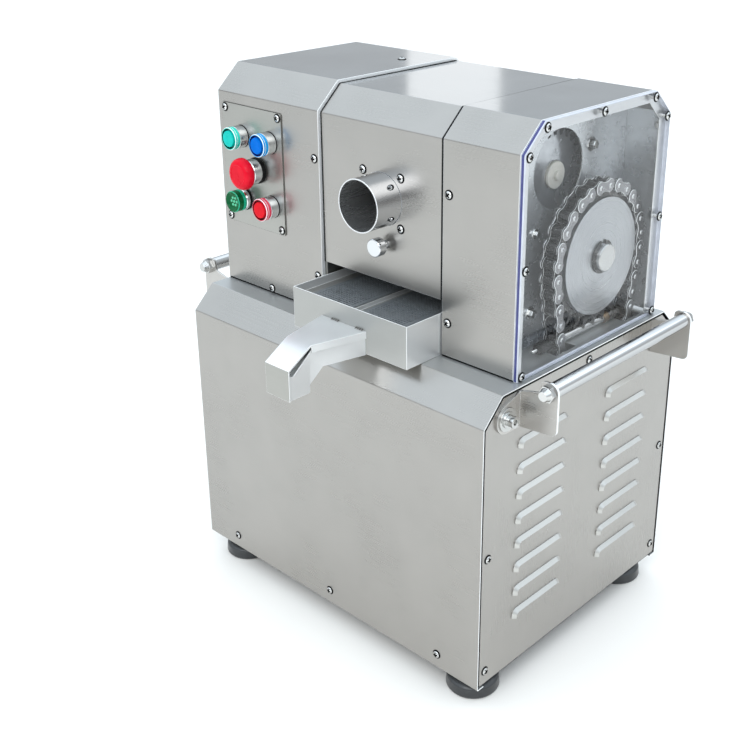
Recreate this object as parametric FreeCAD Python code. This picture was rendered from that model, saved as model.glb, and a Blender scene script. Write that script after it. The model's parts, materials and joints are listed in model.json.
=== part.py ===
import FreeCAD, Part
import math
import os

# Desktop three-roller sugarcane juicer in stainless sheet, chain driven by a gearmotor in its cabinet.
# Millimetres, +Z up, +Y towards the back, +X towards the chain case.
# The origin is at floor level, in the middle of the whole machine's length and width.

V = FreeCAD.Vector
EPS = 0.01

# ---------------------------------------------------------------- driving dimensions
SHEET = 1.5                # stainless sheet of every cover
BEND_R = 1.5               # inside radius of a fold
FIT_GAP = 0.3              # gap between covers and what they slip over
SHAFT_FIT = 0.03           # radial clearance of a shaft in a bore
SEAT = 0.05                # gap between a part and the face it is bolted to

CAB_D = 388.0              # cabinet
CAB_H = 376.0
CAB_CHAMFER_Y = 31.0
CAB_CHAMFER_Z = 30.5
CAB_LIP = 14.0             # bottom return of the wrapped sheet
PANEL_INSET = 0.8          # side panels sit this far inside the wrap's edge

FOOT_H = 30.0              # rubber feet
FOOT_D = 66.0
FOOT_NECK_D = 50.0
FOOT_RIM_H = 17.0
FOOT_INSET = 38.0
FOOT_BOLT_D = 10.0

TUBE_S = 20.0              # square tube of the inner frame
TUBE_WALL = 2.0
SHELF_T = 6.0

LOUVRE_L = 95.0            # pressed louvres of the side panels
LOUVRE_H = 12.0
LOUVRE_OUT = 5.0
LOUVRE_R = 9.0
LOUVRE_SLOPE = 4.2         # sloped band round a louvre's ends and top
LOUVRE_PITCH = 33.3
LOUVRE_ROWS = 8
LOUVRE_FIRST_Z = 68.0      # above the cabinet's bottom edge
LOUVRE_FRONT = 60.0        # front column behind the cabinet's front
LOUVRE_REAR = 58.5         # rear column's end ahead of the cabinet's back

HEAD_SETBACK = 61.2        # head above the deck
HEAD_D = 284.0
HEAD_H = 288.0
HEAD_CHAMFER_Y = 34.6
HEAD_CHAMFER_Z = 31.8
CONTROL_W = 187.2          # control housing, from the cabinet's left side
ROLL_BAY_W = 196.2         # roller housing
ROLL_COVER_INSET = 4.0     # how far the roller housing lies below the control housing
CHAIN_COVER_INSET = 2.4    # how far the chain housing lies below the control housing
COVER_LAP = 11.0           # roller housing running in under the chain housing
SILL_GAP = 15.7            # roller housing's lower edge above the juice tray
END_FLANGE = 14.5          # folded rim at a housing's end

WINDOW_T = 6.0             # clear side window
WINDOW_INSET = 6.5

PLATE_T = 14.0             # bearing plates
PLATE_PROUD = 3.0          # left bearing plate past the control housing's end
TIE_D = 16.0               # tie rods between the plates
TIE_TOP_DROP = 24.0        # upper pair below the head's top
TIE_TOP_FRONT = 34.0
TIE_TOP_REAR = 35.0
TIE_REAR = 23.0            # rear rod ahead of the head's back
TIE_REAR_DROP = 6.0        # and below the top roller's axis
TIE_LOW_FRONT = 27.0       # lower front rod behind the head's front
TIE_LOW_UP = 86.0

MAIN_BACK = 181.8          # main roller axis behind the head's front
MAIN_UP = 97.0             # and above the deck
GEAR_MODULE = 4.0
MAIN_TEETH = 22
TOP_TEETH = 26
FEED_TEETH = 14
TOP_ANGLE = 104.0          # direction from the main axis to the top axis
FEED_ANGLE = 225.0         # direction from the top axis to the feed axis
PRESSURE_ANGLE = 20.0
BACKLASH = 0.5
GEAR_FACE = 16.0
GEAR_GAP = 2.5             # right bearing plate to the gears
END_WASHER_D = 33.0        # nylon washer on the top shaft's end
END_WASHER_T = 4.0
END_HEAD_D = 12.0
END_HEAD_T = 4.0
WALL_GAP = 7.55            # that washer's screw to the polished wall
NIP = 3.0                  # gap between neighbouring rollers
ROLLER_FLUTES = 16
FLUTE_DEPTH = 1.2
MAIN_SHAFT_D = 34.0
TOP_SHAFT_D = 34.0
FEED_SHAFT_D = 24.0
BUSH_WALL = 4.0
BUSH_FLANGE = 3.0
SIDE_GAP = 0.5             # roller end to bush flange

CHAIN_PITCH = 19.05        # roller chain of 19.05 mm pitch
CHAIN_ROLLER_D = 11.91
CHAIN_INNER_W = 12.57
CHAIN_PLATE_T = 2.4
CHAIN_PLATE_H = 16.6
CHAIN_PIN_D = 5.94
SPAN_LINKS = 12            # links in each straight run
CHAIN_GAP = 0.12           # between neighbouring plates
WHEEL_TEETH = 28
PINION_TEETH = 16
SPROCKET_T = 11.6
WHEEL_DISC_D = 143.0       # turned disc in front of the wheel's teeth
WHEEL_DISC_T = 5.5
CHAIN_X = 36.0             # chain's middle plane, in from the cabinet's right side
PINION_HUB_D = 57.6
TOOTH_LAND = 2.0           # flat tip of a sprocket tooth
SHAFT_NOSE = 8.5           # main shaft past the disc
RING_D = 41.0              # retaining ring
RING_T = 2.0

PARTITION_X = 65.0         # polished wall behind the chain, in from the cabinet's right side
PARTITION_T = 2.0
PARTITION_FLANGE = 8.0
PORT_R = 47.0              # round port in that wall
PORT_FORWARD = 15.0        # port centre in front of the top axis
PORT_UP = 13.0

FEED_X = 38.0              # cane feed tube
FEED_UP = 168.0            # tube axis above the deck
FEED_D = 63.5
FEED_WALL = 1.5
FEED_OUT = 39.0
FEED_IN = 58.0
FEED_FLANGE = 78.0
FEED_FLANGE_T = 3.0
FEED_SCREW_SQUARE = 60.0
KNOB_X = 43.0              # thumb screw under the tube
KNOB_UP = 114.0
KNOB_D = 22.0
KNOB_T = 12.0
KNOB_STEM_D = 9.0
KNOB_STEM = 8.0

TRAY_SIDE_GAP = 3.35       # juice tray to each bearing plate
TRAY_CLEAR = 2.075         # main roller above the tray's rim
TRAY_OUT = 54.2            # tray front, ahead of the head's front
TRAY_BACK = 276.0          # tray's rear wall behind the head's front
TRAY_WALL = 1.5
TRAY_LIFT = 0.3
SCREEN_T = 1.2             # strainer screens
SCREEN_DROP = 9.0
SCREEN_EDGE = 17.0
SCREEN_CHANNEL = 16.0

SPOUT_X = 31.0             # juice spout on the tray's front
SPOUT_W_BACK = 71.5
SPOUT_W_FRONT = 36.5
SPOUT_REACH = 97.0         # spout tip ahead of the cabinet's front
SPOUT_TOP = 29.0           # spout's flat top above the deck
SPOUT_FLAT = 70.4          # length of the flat part
SPOUT_DROP = 20.5          # fall of the sloped part
SPOUT_LIP_H = 38.0         # height of the upright front
SPOUT_DEPTH = 30.0         # depth of the trough
SPOUT_MOUTH = 32.4         # mouth's length, front to back
SPOUT_COVER_LIP = 9.0

PANEL_W = 114.0            # push-button plate
PANEL_H = 157.0
PANEL_X = 65.0             # its middle, in from the control housing's left side
PANEL_UP = 164.5           # its middle above the deck
PANEL_T = 1.5
BEZEL_D = 29.0
BEZEL_OUT = 21.0
BUTTON_D = 23.0
BUTTON_PROUD = 2.5
BUTTON_TRAVEL = 3.0
BUTTON_HOLE_D = 22.5
PILOT_RING_OUT = 8.0       # ring behind the pilot lens
PILOT_LENS_D = 28.0
PILOT_SPIGOT = 6.0
BUTTON_STEM_D = 10.0
BUTTON_COLUMNS = (-20.5, 33.5)     # from the plate's middle
BUTTON_ROW_UP = 38.5
BUTTON_ROW_DOWN = -44.0
STOP_X = 8.0
STOP_UP = -1.0
STOP_D = 41.0
STOP_COLLAR_D = 33.0
STOP_COLLAR_OUT = 18.0
STOP_HEAD_T = 14.0
STOP_HEAD_RECESS = 5.0     # hollow back of the mushroom, over its collar
STOP_STEM_IN = 10.5        # stem inside the mushroom
STOP_TRAVEL = 5.0
STOP_OUT = 33.0
SWITCH_BLOCK_W = 30.0
SWITCH_BLOCK_L = 44.0
DIN_RAIL_W = 35.0          # contactors on their rail
DIN_RAIL_T = 7.5
DIN_RAIL_UP = 120.0
DIN_RAIL_LEFT = 30.0
DIN_RAIL_RIGHT = 40.0
CONTACTOR_W = 45.0
CONTACTOR_H = 74.0
CONTACTOR_L = 80.0
CONTACTOR_STEP = 48.0

HANDLE_TUBE_D = 18.0       # carrying handles
HANDLE_OUT = 41.0          # tube axis from the cabinet's side
HANDLE_UP = 7.0            # tube axis above the deck
HANDLE_FRONT = 59.0        # front arm behind the cabinet's front
HANDLE_REAR = 55.0         # rear arm ahead of the cabinet's back
BRACKET_T = 3.0
BRACKET_REACH = 52.0
BRACKET_DROP = 43.0        # lower corner below the deck
BRACKET_BOLT_DROP = 30.0
BRACKET_BOLT_Y = 22.0      # bolt ahead of the arm
BRACKET_R = 17.0
BRACKET_NOSE_R = 11.0
BOLT_SHANK_R = 4.0
BOLT_HEAD_D = 13.0
BOLT_HEAD_L = 8.0
WASHER_D = 28.0
WASHER_STEP_D = 19.0
WASHER_T = 1.8
NUT_R = 10.0
NUT_L = 11.0

OUTLET_W = 150.0           # bagasse outlet at the back
OUTLET_H = 76.0
OUTLET_OUT = 40.0
OUTLET_FALL = 36.0
OUTLET_WALL = 40.0

MOTOR_D = 150.0            # gearmotor
MOTOR_L = 210.0
MOTOR_FINS = 20
FIN_H = 7.0
FIN_T = 3.0
GEARBOX_D = 150.0
GEARBOX_L = 120.0
FLANGE_D = 164.0
FLANGE_T = 14.0
OUTPUT_SHAFT_D = 32.0
MOTOR_FOOT_W = 160.0
MOTOR_FOOT_T = 12.0

SCREW_HEAD_D = 9.6         # pan-head screws
SCREW_HEAD_T = 3.0
SCREW_D = 5.0
SCREW_L = 7.0
FRONT_SCREW_LEFT = 62.0    # screws of the cabinet
FRONT_SCREW_RIGHT = 63.5
FRONT_SCREW_UP = 20.0
SIDE_SCREW_INSET = 14.0
SIDE_SCREW_UPS = (22.0, 177.0)
SIDE_SCREW_DROP = 13.0
LEFT_SCREW_UPS = (47.0, 197.0)     # screws of the head, above the deck
RIGHT_SCREW_UPS = (43.0, 194.0)
FOOT_SCREW_X = 89.0
FOOT_SCREW_UP = 7.0
ROOF_SCREW_X = 146.0
ROOF_SCREW_Y = 188.8
PLATE_SCREW_INSET = 6.5

# ---------------------------------------------------------------- derived places
CHAIN_BAY_W = SHEET + PLATE_T + GEAR_GAP + GEAR_FACE + SEAT + END_WASHER_T + END_HEAD_T + WALL_GAP \
    + PARTITION_T + PARTITION_X
CAB_W = CONTROL_W + ROLL_BAY_W + CHAIN_BAY_W
FRONT = (SPOUT_REACH - CAB_D) / 2
BACK = FRONT + CAB_D
LEFT = -CAB_W / 2
RIGHT = CAB_W / 2
DECK = FOOT_H + CAB_H
HEAD_FRONT = FRONT + HEAD_SETBACK
HEAD_BACK = HEAD_FRONT + HEAD_D
HEAD_TOP = DECK + HEAD_H
CONTROL_END = LEFT + CONTROL_W
ROLL_END = CONTROL_END + ROLL_BAY_W
WINDOW_OUT = RIGHT - WINDOW_INSET
WINDOW_IN = WINDOW_OUT - WINDOW_T

PLATE_INSET = ROLL_COVER_INSET + SHEET + FIT_GAP
LEFT_PLATE_IN = CONTROL_END + PLATE_PROUD
LEFT_PLATE_OUT = LEFT_PLATE_IN - PLATE_T
RIGHT_PLATE_IN = ROLL_END + SHEET
RIGHT_PLATE_OUT = RIGHT_PLATE_IN + PLATE_T

MAIN_Y = HEAD_FRONT + MAIN_BACK
MAIN_Z = DECK + MAIN_UP
MAIN_TO_TOP = GEAR_MODULE * (MAIN_TEETH + TOP_TEETH) / 2
TOP_TO_FEED = GEAR_MODULE * (TOP_TEETH + FEED_TEETH) / 2
TOP_Y = MAIN_Y + MAIN_TO_TOP * math.cos(math.radians(TOP_ANGLE))
TOP_Z = MAIN_Z + MAIN_TO_TOP * math.sin(math.radians(TOP_ANGLE))
FEED_Y = TOP_Y + TOP_TO_FEED * math.cos(math.radians(FEED_ANGLE))
FEED_Z = TOP_Z + TOP_TO_FEED * math.sin(math.radians(FEED_ANGLE))
ROLL_PER_TOOTH = (MAIN_TO_TOP - NIP) / (MAIN_TEETH + TOP_TEETH)
MAIN_R = ROLL_PER_TOOTH * MAIN_TEETH
TOP_R = ROLL_PER_TOOTH * TOP_TEETH
FEED_R = ROLL_PER_TOOTH * FEED_TEETH
TRAY_W = RIGHT_PLATE_IN - LEFT_PLATE_IN - 2 * TRAY_SIDE_GAP
TRAY_H = MAIN_UP - MAIN_R - TRAY_LIFT - TRAY_CLEAR
ROLL_COVER_SILL = TRAY_LIFT + TRAY_H + SILL_GAP

CHAIN_MID = RIGHT - CHAIN_X
WHEEL_PITCH_R = CHAIN_PITCH / 2 / math.sin(math.pi / WHEEL_TEETH)
PINION_PITCH_R = CHAIN_PITCH / 2 / math.sin(math.pi / PINION_TEETH)
WHEEL_LEAN = math.asin((WHEEL_PITCH_R - PINION_PITCH_R) / (SPAN_LINKS * CHAIN_PITCH)) / math.pi
WHEEL_WRAP = round(WHEEL_TEETH * (0.5 + WHEEL_LEAN))
PINION_WRAP = round(PINION_TEETH * (0.5 - WHEEL_LEAN))
PINION_WRAP += (WHEEL_WRAP + PINION_WRAP) % 2
WHEEL_HALF = math.pi * WHEEL_WRAP / WHEEL_TEETH
PINION_HALF = math.pi * PINION_WRAP / PINION_TEETH
RUN_TOP = (WHEEL_PITCH_R * math.sin(WHEEL_HALF), WHEEL_PITCH_R * math.cos(WHEEL_HALF))
RUN_FOOT = (PINION_PITCH_R * math.sin(PINION_HALF), -PINION_PITCH_R * math.cos(PINION_HALF))
CHAIN_CENTRES = math.sqrt((SPAN_LINKS * CHAIN_PITCH) ** 2 - (RUN_TOP[0] - RUN_FOOT[0]) ** 2) \
    + RUN_FOOT[1] - RUN_TOP[1]
DRIVE_Z = MAIN_Z - CHAIN_CENTRES


# ---------------------------------------------------------------- helpers
def at(plane, a, b, c):
    """Point whose in-plane coordinates are a and b and whose height on the third axis is c."""
    if plane == "yz":
        return V(c, a, b)
    if plane == "xz":
        return V(a, c, b)
    return V(a, b, c)


def axis_of(plane):
    return at(plane, 0, 0, 1)


def block(x, y, z):
    """Box from three (low, high) pairs."""
    return Part.makeBox(x[1] - x[0], y[1] - y[0], z[1] - z[0], V(x[0], y[0], z[0]))


def rod(plane, centre, radius, low, high):
    """Cylinder normal to the plane."""
    return Part.makeCylinder(radius, high - low, at(plane, centre[0], centre[1], low), axis_of(plane))


def ring(plane, centre, outer, inner, low, high):
    return rod(plane, centre, outer, low, high).cut(rod(plane, centre, inner, low - 1, high + 1))


def rounded_wire(plane, points, radii, height):
    """Closed wire through the points, each corner rounded by its radius (0 keeps it sharp)."""
    count = len(points)
    if isinstance(radii, (int, float)):
        radii = [radii] * count
    stations = []
    for i in range(count):
        here = V(points[i][0], points[i][1], 0)
        before = V(points[i - 1][0], points[i - 1][1], 0)
        after = V(points[(i + 1) % count][0], points[(i + 1) % count][1], 0)
        if radii[i] <= 0:
            stations.append((here, None, here))
            continue
        u = (before - here).normalize()
        w = (after - here).normalize()
        half = math.acos(max(-1.0, min(1.0, u.dot(w)))) / 2
        reach = radii[i] / math.tan(half)
        start = here + u * reach
        end = here + w * reach
        middle_dir = (u + w).normalize()
        centre = here + middle_dir * (radii[i] / math.sin(half))
        middle = centre - middle_dir * radii[i]
        stations.append((start, middle, end))
    lift = [[at(plane, p.x, p.y, height) if p is not None else None for p in s] for s in stations]
    edges = []
    for i in range(count):
        start, middle, end = lift[i]
        following = lift[(i + 1) % count][0]
        if middle is not None:
            edges.append(Part.Arc(start, middle, end).toShape())
        if end.distanceToPoint(following) > 1e-6:
            edges.append(Part.makeLine(end, following))
    return Part.Wire(edges)


def prism(plane, points, low, high, radii=0):
    """Solid of the rounded outline between two heights."""
    face = Part.Face(rounded_wire(plane, points, radii, low))
    return face.extrude(axis_of(plane) * (high - low))


def polygon(centre, radius, sides, turn=0.0):
    step = 2 * math.pi / sides
    return [(centre[0] + radius * math.cos(turn + step * i), centre[1] + radius * math.sin(turn + step * i))
            for i in range(sides)]


def joined(shapes):
    """One solid of several that touch or overlap."""
    result = shapes[0].fuse(list(shapes[1:])) if len(shapes) > 1 else shapes[0]
    return result.removeSplitter()


def group(shapes):
    return Part.makeCompound(list(shapes))


def mirrored_x(shape):
    return shape.mirror(V(0, 0, 0), V(1, 0, 0))


def arch(front, back, top, slope_y, slope_z, inset, bottom):
    """Sheet outline in (y, z) moved inwards by the inset: front, front slope, top, back slope, back."""
    slope = math.hypot(slope_y, slope_z)
    rise = inset * (slope - slope_z) / slope_y
    run = inset * (slope - slope_y) / slope_z
    shoulder = top - slope_z - inset * slope_y / slope + rise * slope_z / slope
    start = slope_y + inset * slope_z / slope - run * slope_y / slope
    return [(front + inset, bottom), (front + inset, shoulder), (front + start, top - inset),
            (back - start, top - inset), (back - inset, shoulder), (back - inset, bottom)]


def head_arch(inset, bottom=DECK):
    return arch(HEAD_FRONT, HEAD_BACK, HEAD_TOP, HEAD_CHAMFER_Y, HEAD_CHAMFER_Z, inset, bottom)


def cabinet_arch(inset, bottom):
    return arch(FRONT, BACK, DECK, CAB_CHAMFER_Y, CAB_CHAMFER_Z, inset, bottom)


def folded(outer, inner, low, high):
    """Sheet between two arches, its four folds rounded, run along X."""
    outside = BEND_R + SHEET
    radii = [0] + [outside] * 4 + [0, 0] + [BEND_R] * 4 + [0]
    return prism("yz", outer + inner[::-1], low, high, radii)


def screw(plane, centre, face, out):
    """Pan-head screw standing on a face; out is +1 or -1 along the third axis."""
    head = prism(plane, polygon(centre, SCREW_HEAD_D / 2, 8, math.pi / 8), *sorted((face, face + out * SCREW_HEAD_T)))
    shank = prism(plane, polygon(centre, SCREW_D / 2, 6), *sorted((face, face - out * SCREW_L)))
    return head.fuse(shank)


# ---------------------------------------------------------------- cabinet
PANEL_OUT = RIGHT - PANEL_INSET
PANEL_IN = PANEL_OUT - SHEET
BASE_T = 3.0
BASE_BOTTOM = FOOT_H + SHEET
BASE_TOP = BASE_BOTTOM + BASE_T
RAIL_TOP = DECK - SHEET - TUBE_S - SEAT
RAIL_END = 15.0
TUBE_OUT = PANEL_IN - SEAT
FOOT_X = RIGHT - FOOT_INSET
FOOT_YS = (FRONT + FOOT_INSET, BACK - FOOT_INSET)
SHELF_TOP = DRIVE_Z - GEARBOX_D / 2 - MOTOR_FOOT_T
SLOT_L = CHAIN_PLATE_H + 22.0
SLOT_HALF_W = CHAIN_INNER_W / 2 + 2 * CHAIN_PLATE_T + 5.5
RUN_SLOPE = (RUN_TOP[0] - RUN_FOOT[0]) / (CHAIN_CENTRES + RUN_TOP[1] - RUN_FOOT[1])
RUN_AT_DECK = RUN_TOP[0] - RUN_SLOPE * (MAIN_UP + RUN_TOP[1])
CABLE_HOLE_R = 14.0
BEARER_FRONT = HEAD_FRONT + 25.0
BEARER_BACK = HEAD_BACK - 2.0
ARM_YS = (FRONT + HANDLE_FRONT, BACK - HANDLE_REAR)
BRACKET_BOLTS = [(ARM_YS[0] - BRACKET_BOLT_Y, DECK - BRACKET_BOLT_DROP),
                 (ARM_YS[1] + BRACKET_BOLT_Y, DECK - BRACKET_BOLT_DROP)]
GLAND_Y = FRONT + 195.0
GLAND_Z = FOOT_H + 45.0
GLAND_THREAD_R = 10.0
FOOT_RECESS_R = 12.0
FOOT_HEAD_Z = 14.0
SQUARE = [(-1, -1), (1, -1), (1, 1), (-1, 1)]
LIP = CAB_LIP - 2.0


def cabinet_wrap():
    outer = cabinet_arch(0, FOOT_H)
    inner = cabinet_arch(SHEET, FOOT_H + SHEET)
    lips = [(FRONT + LIP, FOOT_H)] + outer + [(BACK - LIP, FOOT_H), (BACK - LIP, FOOT_H + SHEET)] \
        + inner[::-1] + [(FRONT + LIP, FOOT_H + SHEET)]
    outside = BEND_R + SHEET
    radii = [0] + [outside] * 6 + [0, 0] + [BEND_R] * 6 + [0]
    sheet = prism("yz", lips, LEFT, RIGHT, radii)
    cuts = []
    for side in (-1, 1):
        middle = MAIN_Y + side * RUN_AT_DECK
        cuts.append(block((CHAIN_MID - SLOT_HALF_W, CHAIN_MID + SLOT_HALF_W),
                          (middle - SLOT_L / 2, middle + SLOT_L / 2), (DECK - 2 * SHEET, DECK + SHEET)))
    cuts.append(rod("xy", (LEFT + CONTROL_W / 2, HEAD_BACK - 60), CABLE_HOLE_R, DECK - 2 * SHEET, DECK + SHEET))
    return sheet.cut(cuts)


def pressed(y_low, y_high, z_low, z_high, corner, deep, out, slope):
    """Hood on the yz plane, its top and both ends sloped inwards, its lower side upright."""
    outline = [(y_low, z_low), (y_high, z_low), (y_high, z_high), (y_low, z_high)]
    hood = prism("yz", outline, deep, out, [0, 0, corner, corner])
    rim = [edge for edge in hood.Edges
           if edge.BoundBox.XMin > out - EPS and edge.BoundBox.ZMax > z_low + EPS]
    return hood.makeChamfer(slope, rim)


def louvre(face, y, z):
    """Pressed hood, and the hollow to cut behind it, for a panel whose outer face is at x = face."""
    top = z + LOUVRE_H
    hood = pressed(y, y + LOUVRE_L, z, top, LOUVRE_R, face - SHEET / 2, face + LOUVRE_OUT, LOUVRE_SLOPE)
    hollow = pressed(y + SHEET, y + LOUVRE_L - SHEET, z - SHEET, top - SHEET, LOUVRE_R - SHEET, face - 2 * SHEET,
                     face + LOUVRE_OUT - SHEET, LOUVRE_SLOPE - SHEET / 2)
    return hood, hollow


def right_side_panel():
    outline = cabinet_arch(SHEET + FIT_GAP, FOOT_H + SHEET + FIT_GAP)
    panel = prism("yz", outline, PANEL_IN, PANEL_OUT, BEND_R)
    hoods = []
    hollows = []
    for start in (FRONT + LOUVRE_FRONT, BACK - LOUVRE_REAR - LOUVRE_L):
        for row in range(LOUVRE_ROWS):
            hood, hollow = louvre(PANEL_OUT, start, FOOT_H + LOUVRE_FIRST_Z + row * LOUVRE_PITCH)
            hoods.append(hood)
            hollows.append(hollow)
    holes = [rod("yz", centre, BOLT_SHANK_R + FIT_GAP, PANEL_IN - 1, PANEL_OUT + 1) for centre in BRACKET_BOLTS]
    return panel.fuse(hoods).cut(hollows + holes)


def left_side_panel():
    panel = mirrored_x(right_side_panel())
    return panel.cut(rod("yz", (GLAND_Y, GLAND_Z), GLAND_THREAD_R + FIT_GAP, -PANEL_OUT - 1, -PANEL_IN + 1))


def base_plate():
    clear = SHEET + BEND_R + FIT_GAP
    plate = block((-TUBE_OUT, TUBE_OUT), (FRONT + clear, BACK - clear), (BASE_BOTTOM + SEAT, BASE_TOP))
    holes = [rod("xy", (x, y), FOOT_BOLT_D / 2 + FIT_GAP, FOOT_H, BASE_TOP + 1) for x in (-FOOT_X, FOOT_X) for y in FOOT_YS]
    return plate.cut(holes)


def square_tube(plane, centre, low, high):
    half = TUBE_S / 2
    bore = half - TUBE_WALL
    outer = [(centre[0] + a * half, centre[1] + b * half) for a, b in SQUARE]
    inner = [(centre[0] + a * bore, centre[1] + b * bore) for a, b in SQUARE]
    return prism(plane, outer, low, high).cut(prism(plane, inner, low - 1, high + 1))


def frame_tubes():
    half = TUBE_S / 2
    x = TUBE_OUT - half
    front = FRONT + SHEET + SEAT + half
    back = BACK - SHEET - SEAT - half
    shelf_rail = SHELF_TOP - SHELF_T - half
    tubes = []
    for side in (-x, x):
        for y in (front, back):
            tubes.append(square_tube("xy", (side, y), BASE_TOP + SEAT, RAIL_TOP - TUBE_S))
        rail = square_tube("xz", (side, RAIL_TOP - half), FRONT + RAIL_END, BACK - RAIL_END)
        tubes.append(rail.cut([rod("yz", c, BOLT_SHANK_R + SHAFT_FIT, -RIGHT, RIGHT) for c in BRACKET_BOLTS]))
        tubes.append(square_tube("xz", (side, shelf_rail), front + half, back - half))
    for y in (BEARER_FRONT, BEARER_BACK):
        tubes.append(square_tube("yz", (y, RAIL_TOP + half), -TUBE_OUT, TUBE_OUT))
    return group(tubes)


def rubber_foot(x, y):
    floor_r = FOOT_D / 2
    neck_r = FOOT_NECK_D / 2
    top = BASE_BOTTOM
    bore_r = FOOT_BOLT_D / 2 + FIT_GAP
    half = [(bore_r, FOOT_HEAD_Z), (FOOT_RECESS_R, FOOT_HEAD_Z), (FOOT_RECESS_R, 0), (floor_r - 2, 0), (floor_r, 3),
            (floor_r - 1, FOOT_RIM_H - 3), (floor_r - 4, FOOT_RIM_H), (neck_r, FOOT_RIM_H + 2), (neck_r - 1, top), (bore_r, top)]
    wire = Part.makePolygon([V(x + a, y, b) for a, b in half + half[:1]])
    return Part.Face(wire).revolve(V(x, y, 0), V(0, 0, 1), 360)


def rubber_feet():
    return group([rubber_foot(x, y) for x in (-FOOT_X, FOOT_X) for y in FOOT_YS])


def foot_bolts():
    bolts = []
    for x in (-FOOT_X, FOOT_X):
        for y in FOOT_YS:
            shank = rod("xy", (x, y), FOOT_BOLT_D / 2, FOOT_HEAD_Z - SEAT - 6.0, BASE_TOP + SEAT + 8.0)
            head = rod("xy", (x, y), FOOT_RECESS_R - 2.0, FOOT_HEAD_Z - SEAT - 6.0, FOOT_HEAD_Z - SEAT)
            nut = prism("xy", polygon((x, y), FOOT_BOLT_D, 6), BASE_TOP + SEAT, BASE_TOP + SEAT + 7.0)
            bolts.append(joined([shank, head, nut]))
    return group(bolts)


def cabinet_screws():
    screws = [screw("xz", (x, FOOT_H + FRONT_SCREW_UP), FRONT, -1)
              for x in (LEFT + FRONT_SCREW_LEFT, 0.0, RIGHT - FRONT_SCREW_RIGHT)]
    spots = [(y, FOOT_H + up) for y in (FRONT + SIDE_SCREW_INSET, BACK - SIDE_SCREW_INSET) for up in SIDE_SCREW_UPS]
    spots.append(((FRONT + BACK) / 2, DECK - SIDE_SCREW_DROP))
    for spot in spots:
        right = screw("yz", spot, PANEL_OUT, 1)
        screws += [right, mirrored_x(right)]
    return group(screws)


# ---------------------------------------------------------------- carrying handles
def bracket():
    """Right-hand front arm and foot of a carrying handle, folded from one plate."""
    face = PANEL_OUT + SEAT
    reach = RIGHT + BRACKET_REACH
    tube_x = RIGHT + HANDLE_OUT
    tube_z = DECK + HANDLE_UP
    low = DECK - BRACKET_DROP
    bolt_y, bolt_z = BRACKET_BOLTS[0]
    arm_y = ARM_YS[0]
    arm = [(face, bolt_z - BRACKET_R), (reach, low), (reach, tube_z + BRACKET_NOSE_R),
           (tube_x - BRACKET_NOSE_R, tube_z + BRACKET_NOSE_R), (tube_x - BRACKET_NOSE_R - 2, tube_z - 4),
           (face, DECK - 4.0)]
    nose = BRACKET_NOSE_R - EPS
    plate = prism("xz", arm, arm_y, arm_y + BRACKET_T, [0, 8, nose, nose / 2, 6, 0])
    left = bolt_y - BRACKET_R
    foot = [(arm_y + BRACKET_T, bolt_z - BRACKET_R), (arm_y + BRACKET_T, DECK - 4.0), (arm_y, DECK - 4.0),
            (left, bolt_z + BRACKET_R * 0.75), (left, bolt_z - BRACKET_R)]
    flange = prism("yz", foot, face, face + BRACKET_T, [0, 0, 0, BRACKET_R * 0.9, BRACKET_R - EPS])
    both = joined([plate, flange])
    return both.cut([rod("yz", BRACKET_BOLTS[0], BOLT_SHANK_R + FIT_GAP, face - 1, face + BRACKET_T + 1),
                     rod("xz", (tube_x, tube_z), BOLT_SHANK_R + FIT_GAP, arm_y - 1, arm_y + BRACKET_T + 1)])


def flipped_y(shape):
    """Mirror across the plane half way between the two arms of a handle."""
    return shape.mirror(V(0, (ARM_YS[0] + ARM_YS[1]) / 2, 0), V(0, 1, 0))


def handle_brackets():
    front = bracket()
    back = flipped_y(front)
    return group([front, back, mirrored_x(front), mirrored_x(back)])


def handle_tubes():
    centre = (RIGHT + HANDLE_OUT, DECK + HANDLE_UP)
    ends = (ARM_YS[0] + BRACKET_T + SEAT, ARM_YS[1] - BRACKET_T - SEAT)
    tube = ring("xz", centre, HANDLE_TUBE_D / 2, HANDLE_TUBE_D / 2 - 2.0, ends[0], ends[1])
    return group([tube, mirrored_x(tube)])


def handle_rods():
    """Tie rod through each handle tube, with a domed nut outside each arm."""
    centre = (RIGHT + HANDLE_OUT, DECK + HANDLE_UP)
    near = ARM_YS[0] - SEAT
    shaft = rod("xz", centre, BOLT_SHANK_R, near - NUT_L, 2 * ARM_YS[0] - near + (ARM_YS[1] - ARM_YS[0]) + NUT_L)
    nut = prism("xz", polygon(centre, NUT_R, 6), near - NUT_L * 0.6, near)
    dome = Part.makeCone(NUT_R * 0.55, NUT_R * 0.8, NUT_L * 0.6, at("xz", centre[0], centre[1], near - NUT_L * 1.2),
                         axis_of("xz"))
    end = joined([nut, dome])
    right = joined([shaft, end, flipped_y(end)])
    return [right, mirrored_x(right)]


def handle_bolts():
    bolts = []
    face = PANEL_OUT + SEAT + BRACKET_T + SEAT
    top = face + 2 * WASHER_T
    for centre in BRACKET_BOLTS:
        washers = rod("yz", centre, WASHER_D / 2, face, face + WASHER_T)
        washers = washers.fuse(rod("yz", centre, WASHER_STEP_D / 2, face, top))
        head = rod("yz", centre, BOLT_HEAD_D / 2, top, top + BOLT_HEAD_L)
        socket = prism("yz", polygon(centre, BOLT_HEAD_D * 0.27, 6), top + BOLT_HEAD_L * 0.5, top + BOLT_HEAD_L + 1)
        shank = rod("yz", centre, BOLT_SHANK_R, TUBE_OUT - TUBE_WALL, face + 1)
        bolt = joined([washers, head, shank]).cut(socket)
        bolts += [bolt, mirrored_x(bolt)]
    return bolts


def handle_fasteners():
    return group(handle_rods() + handle_bolts())


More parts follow.
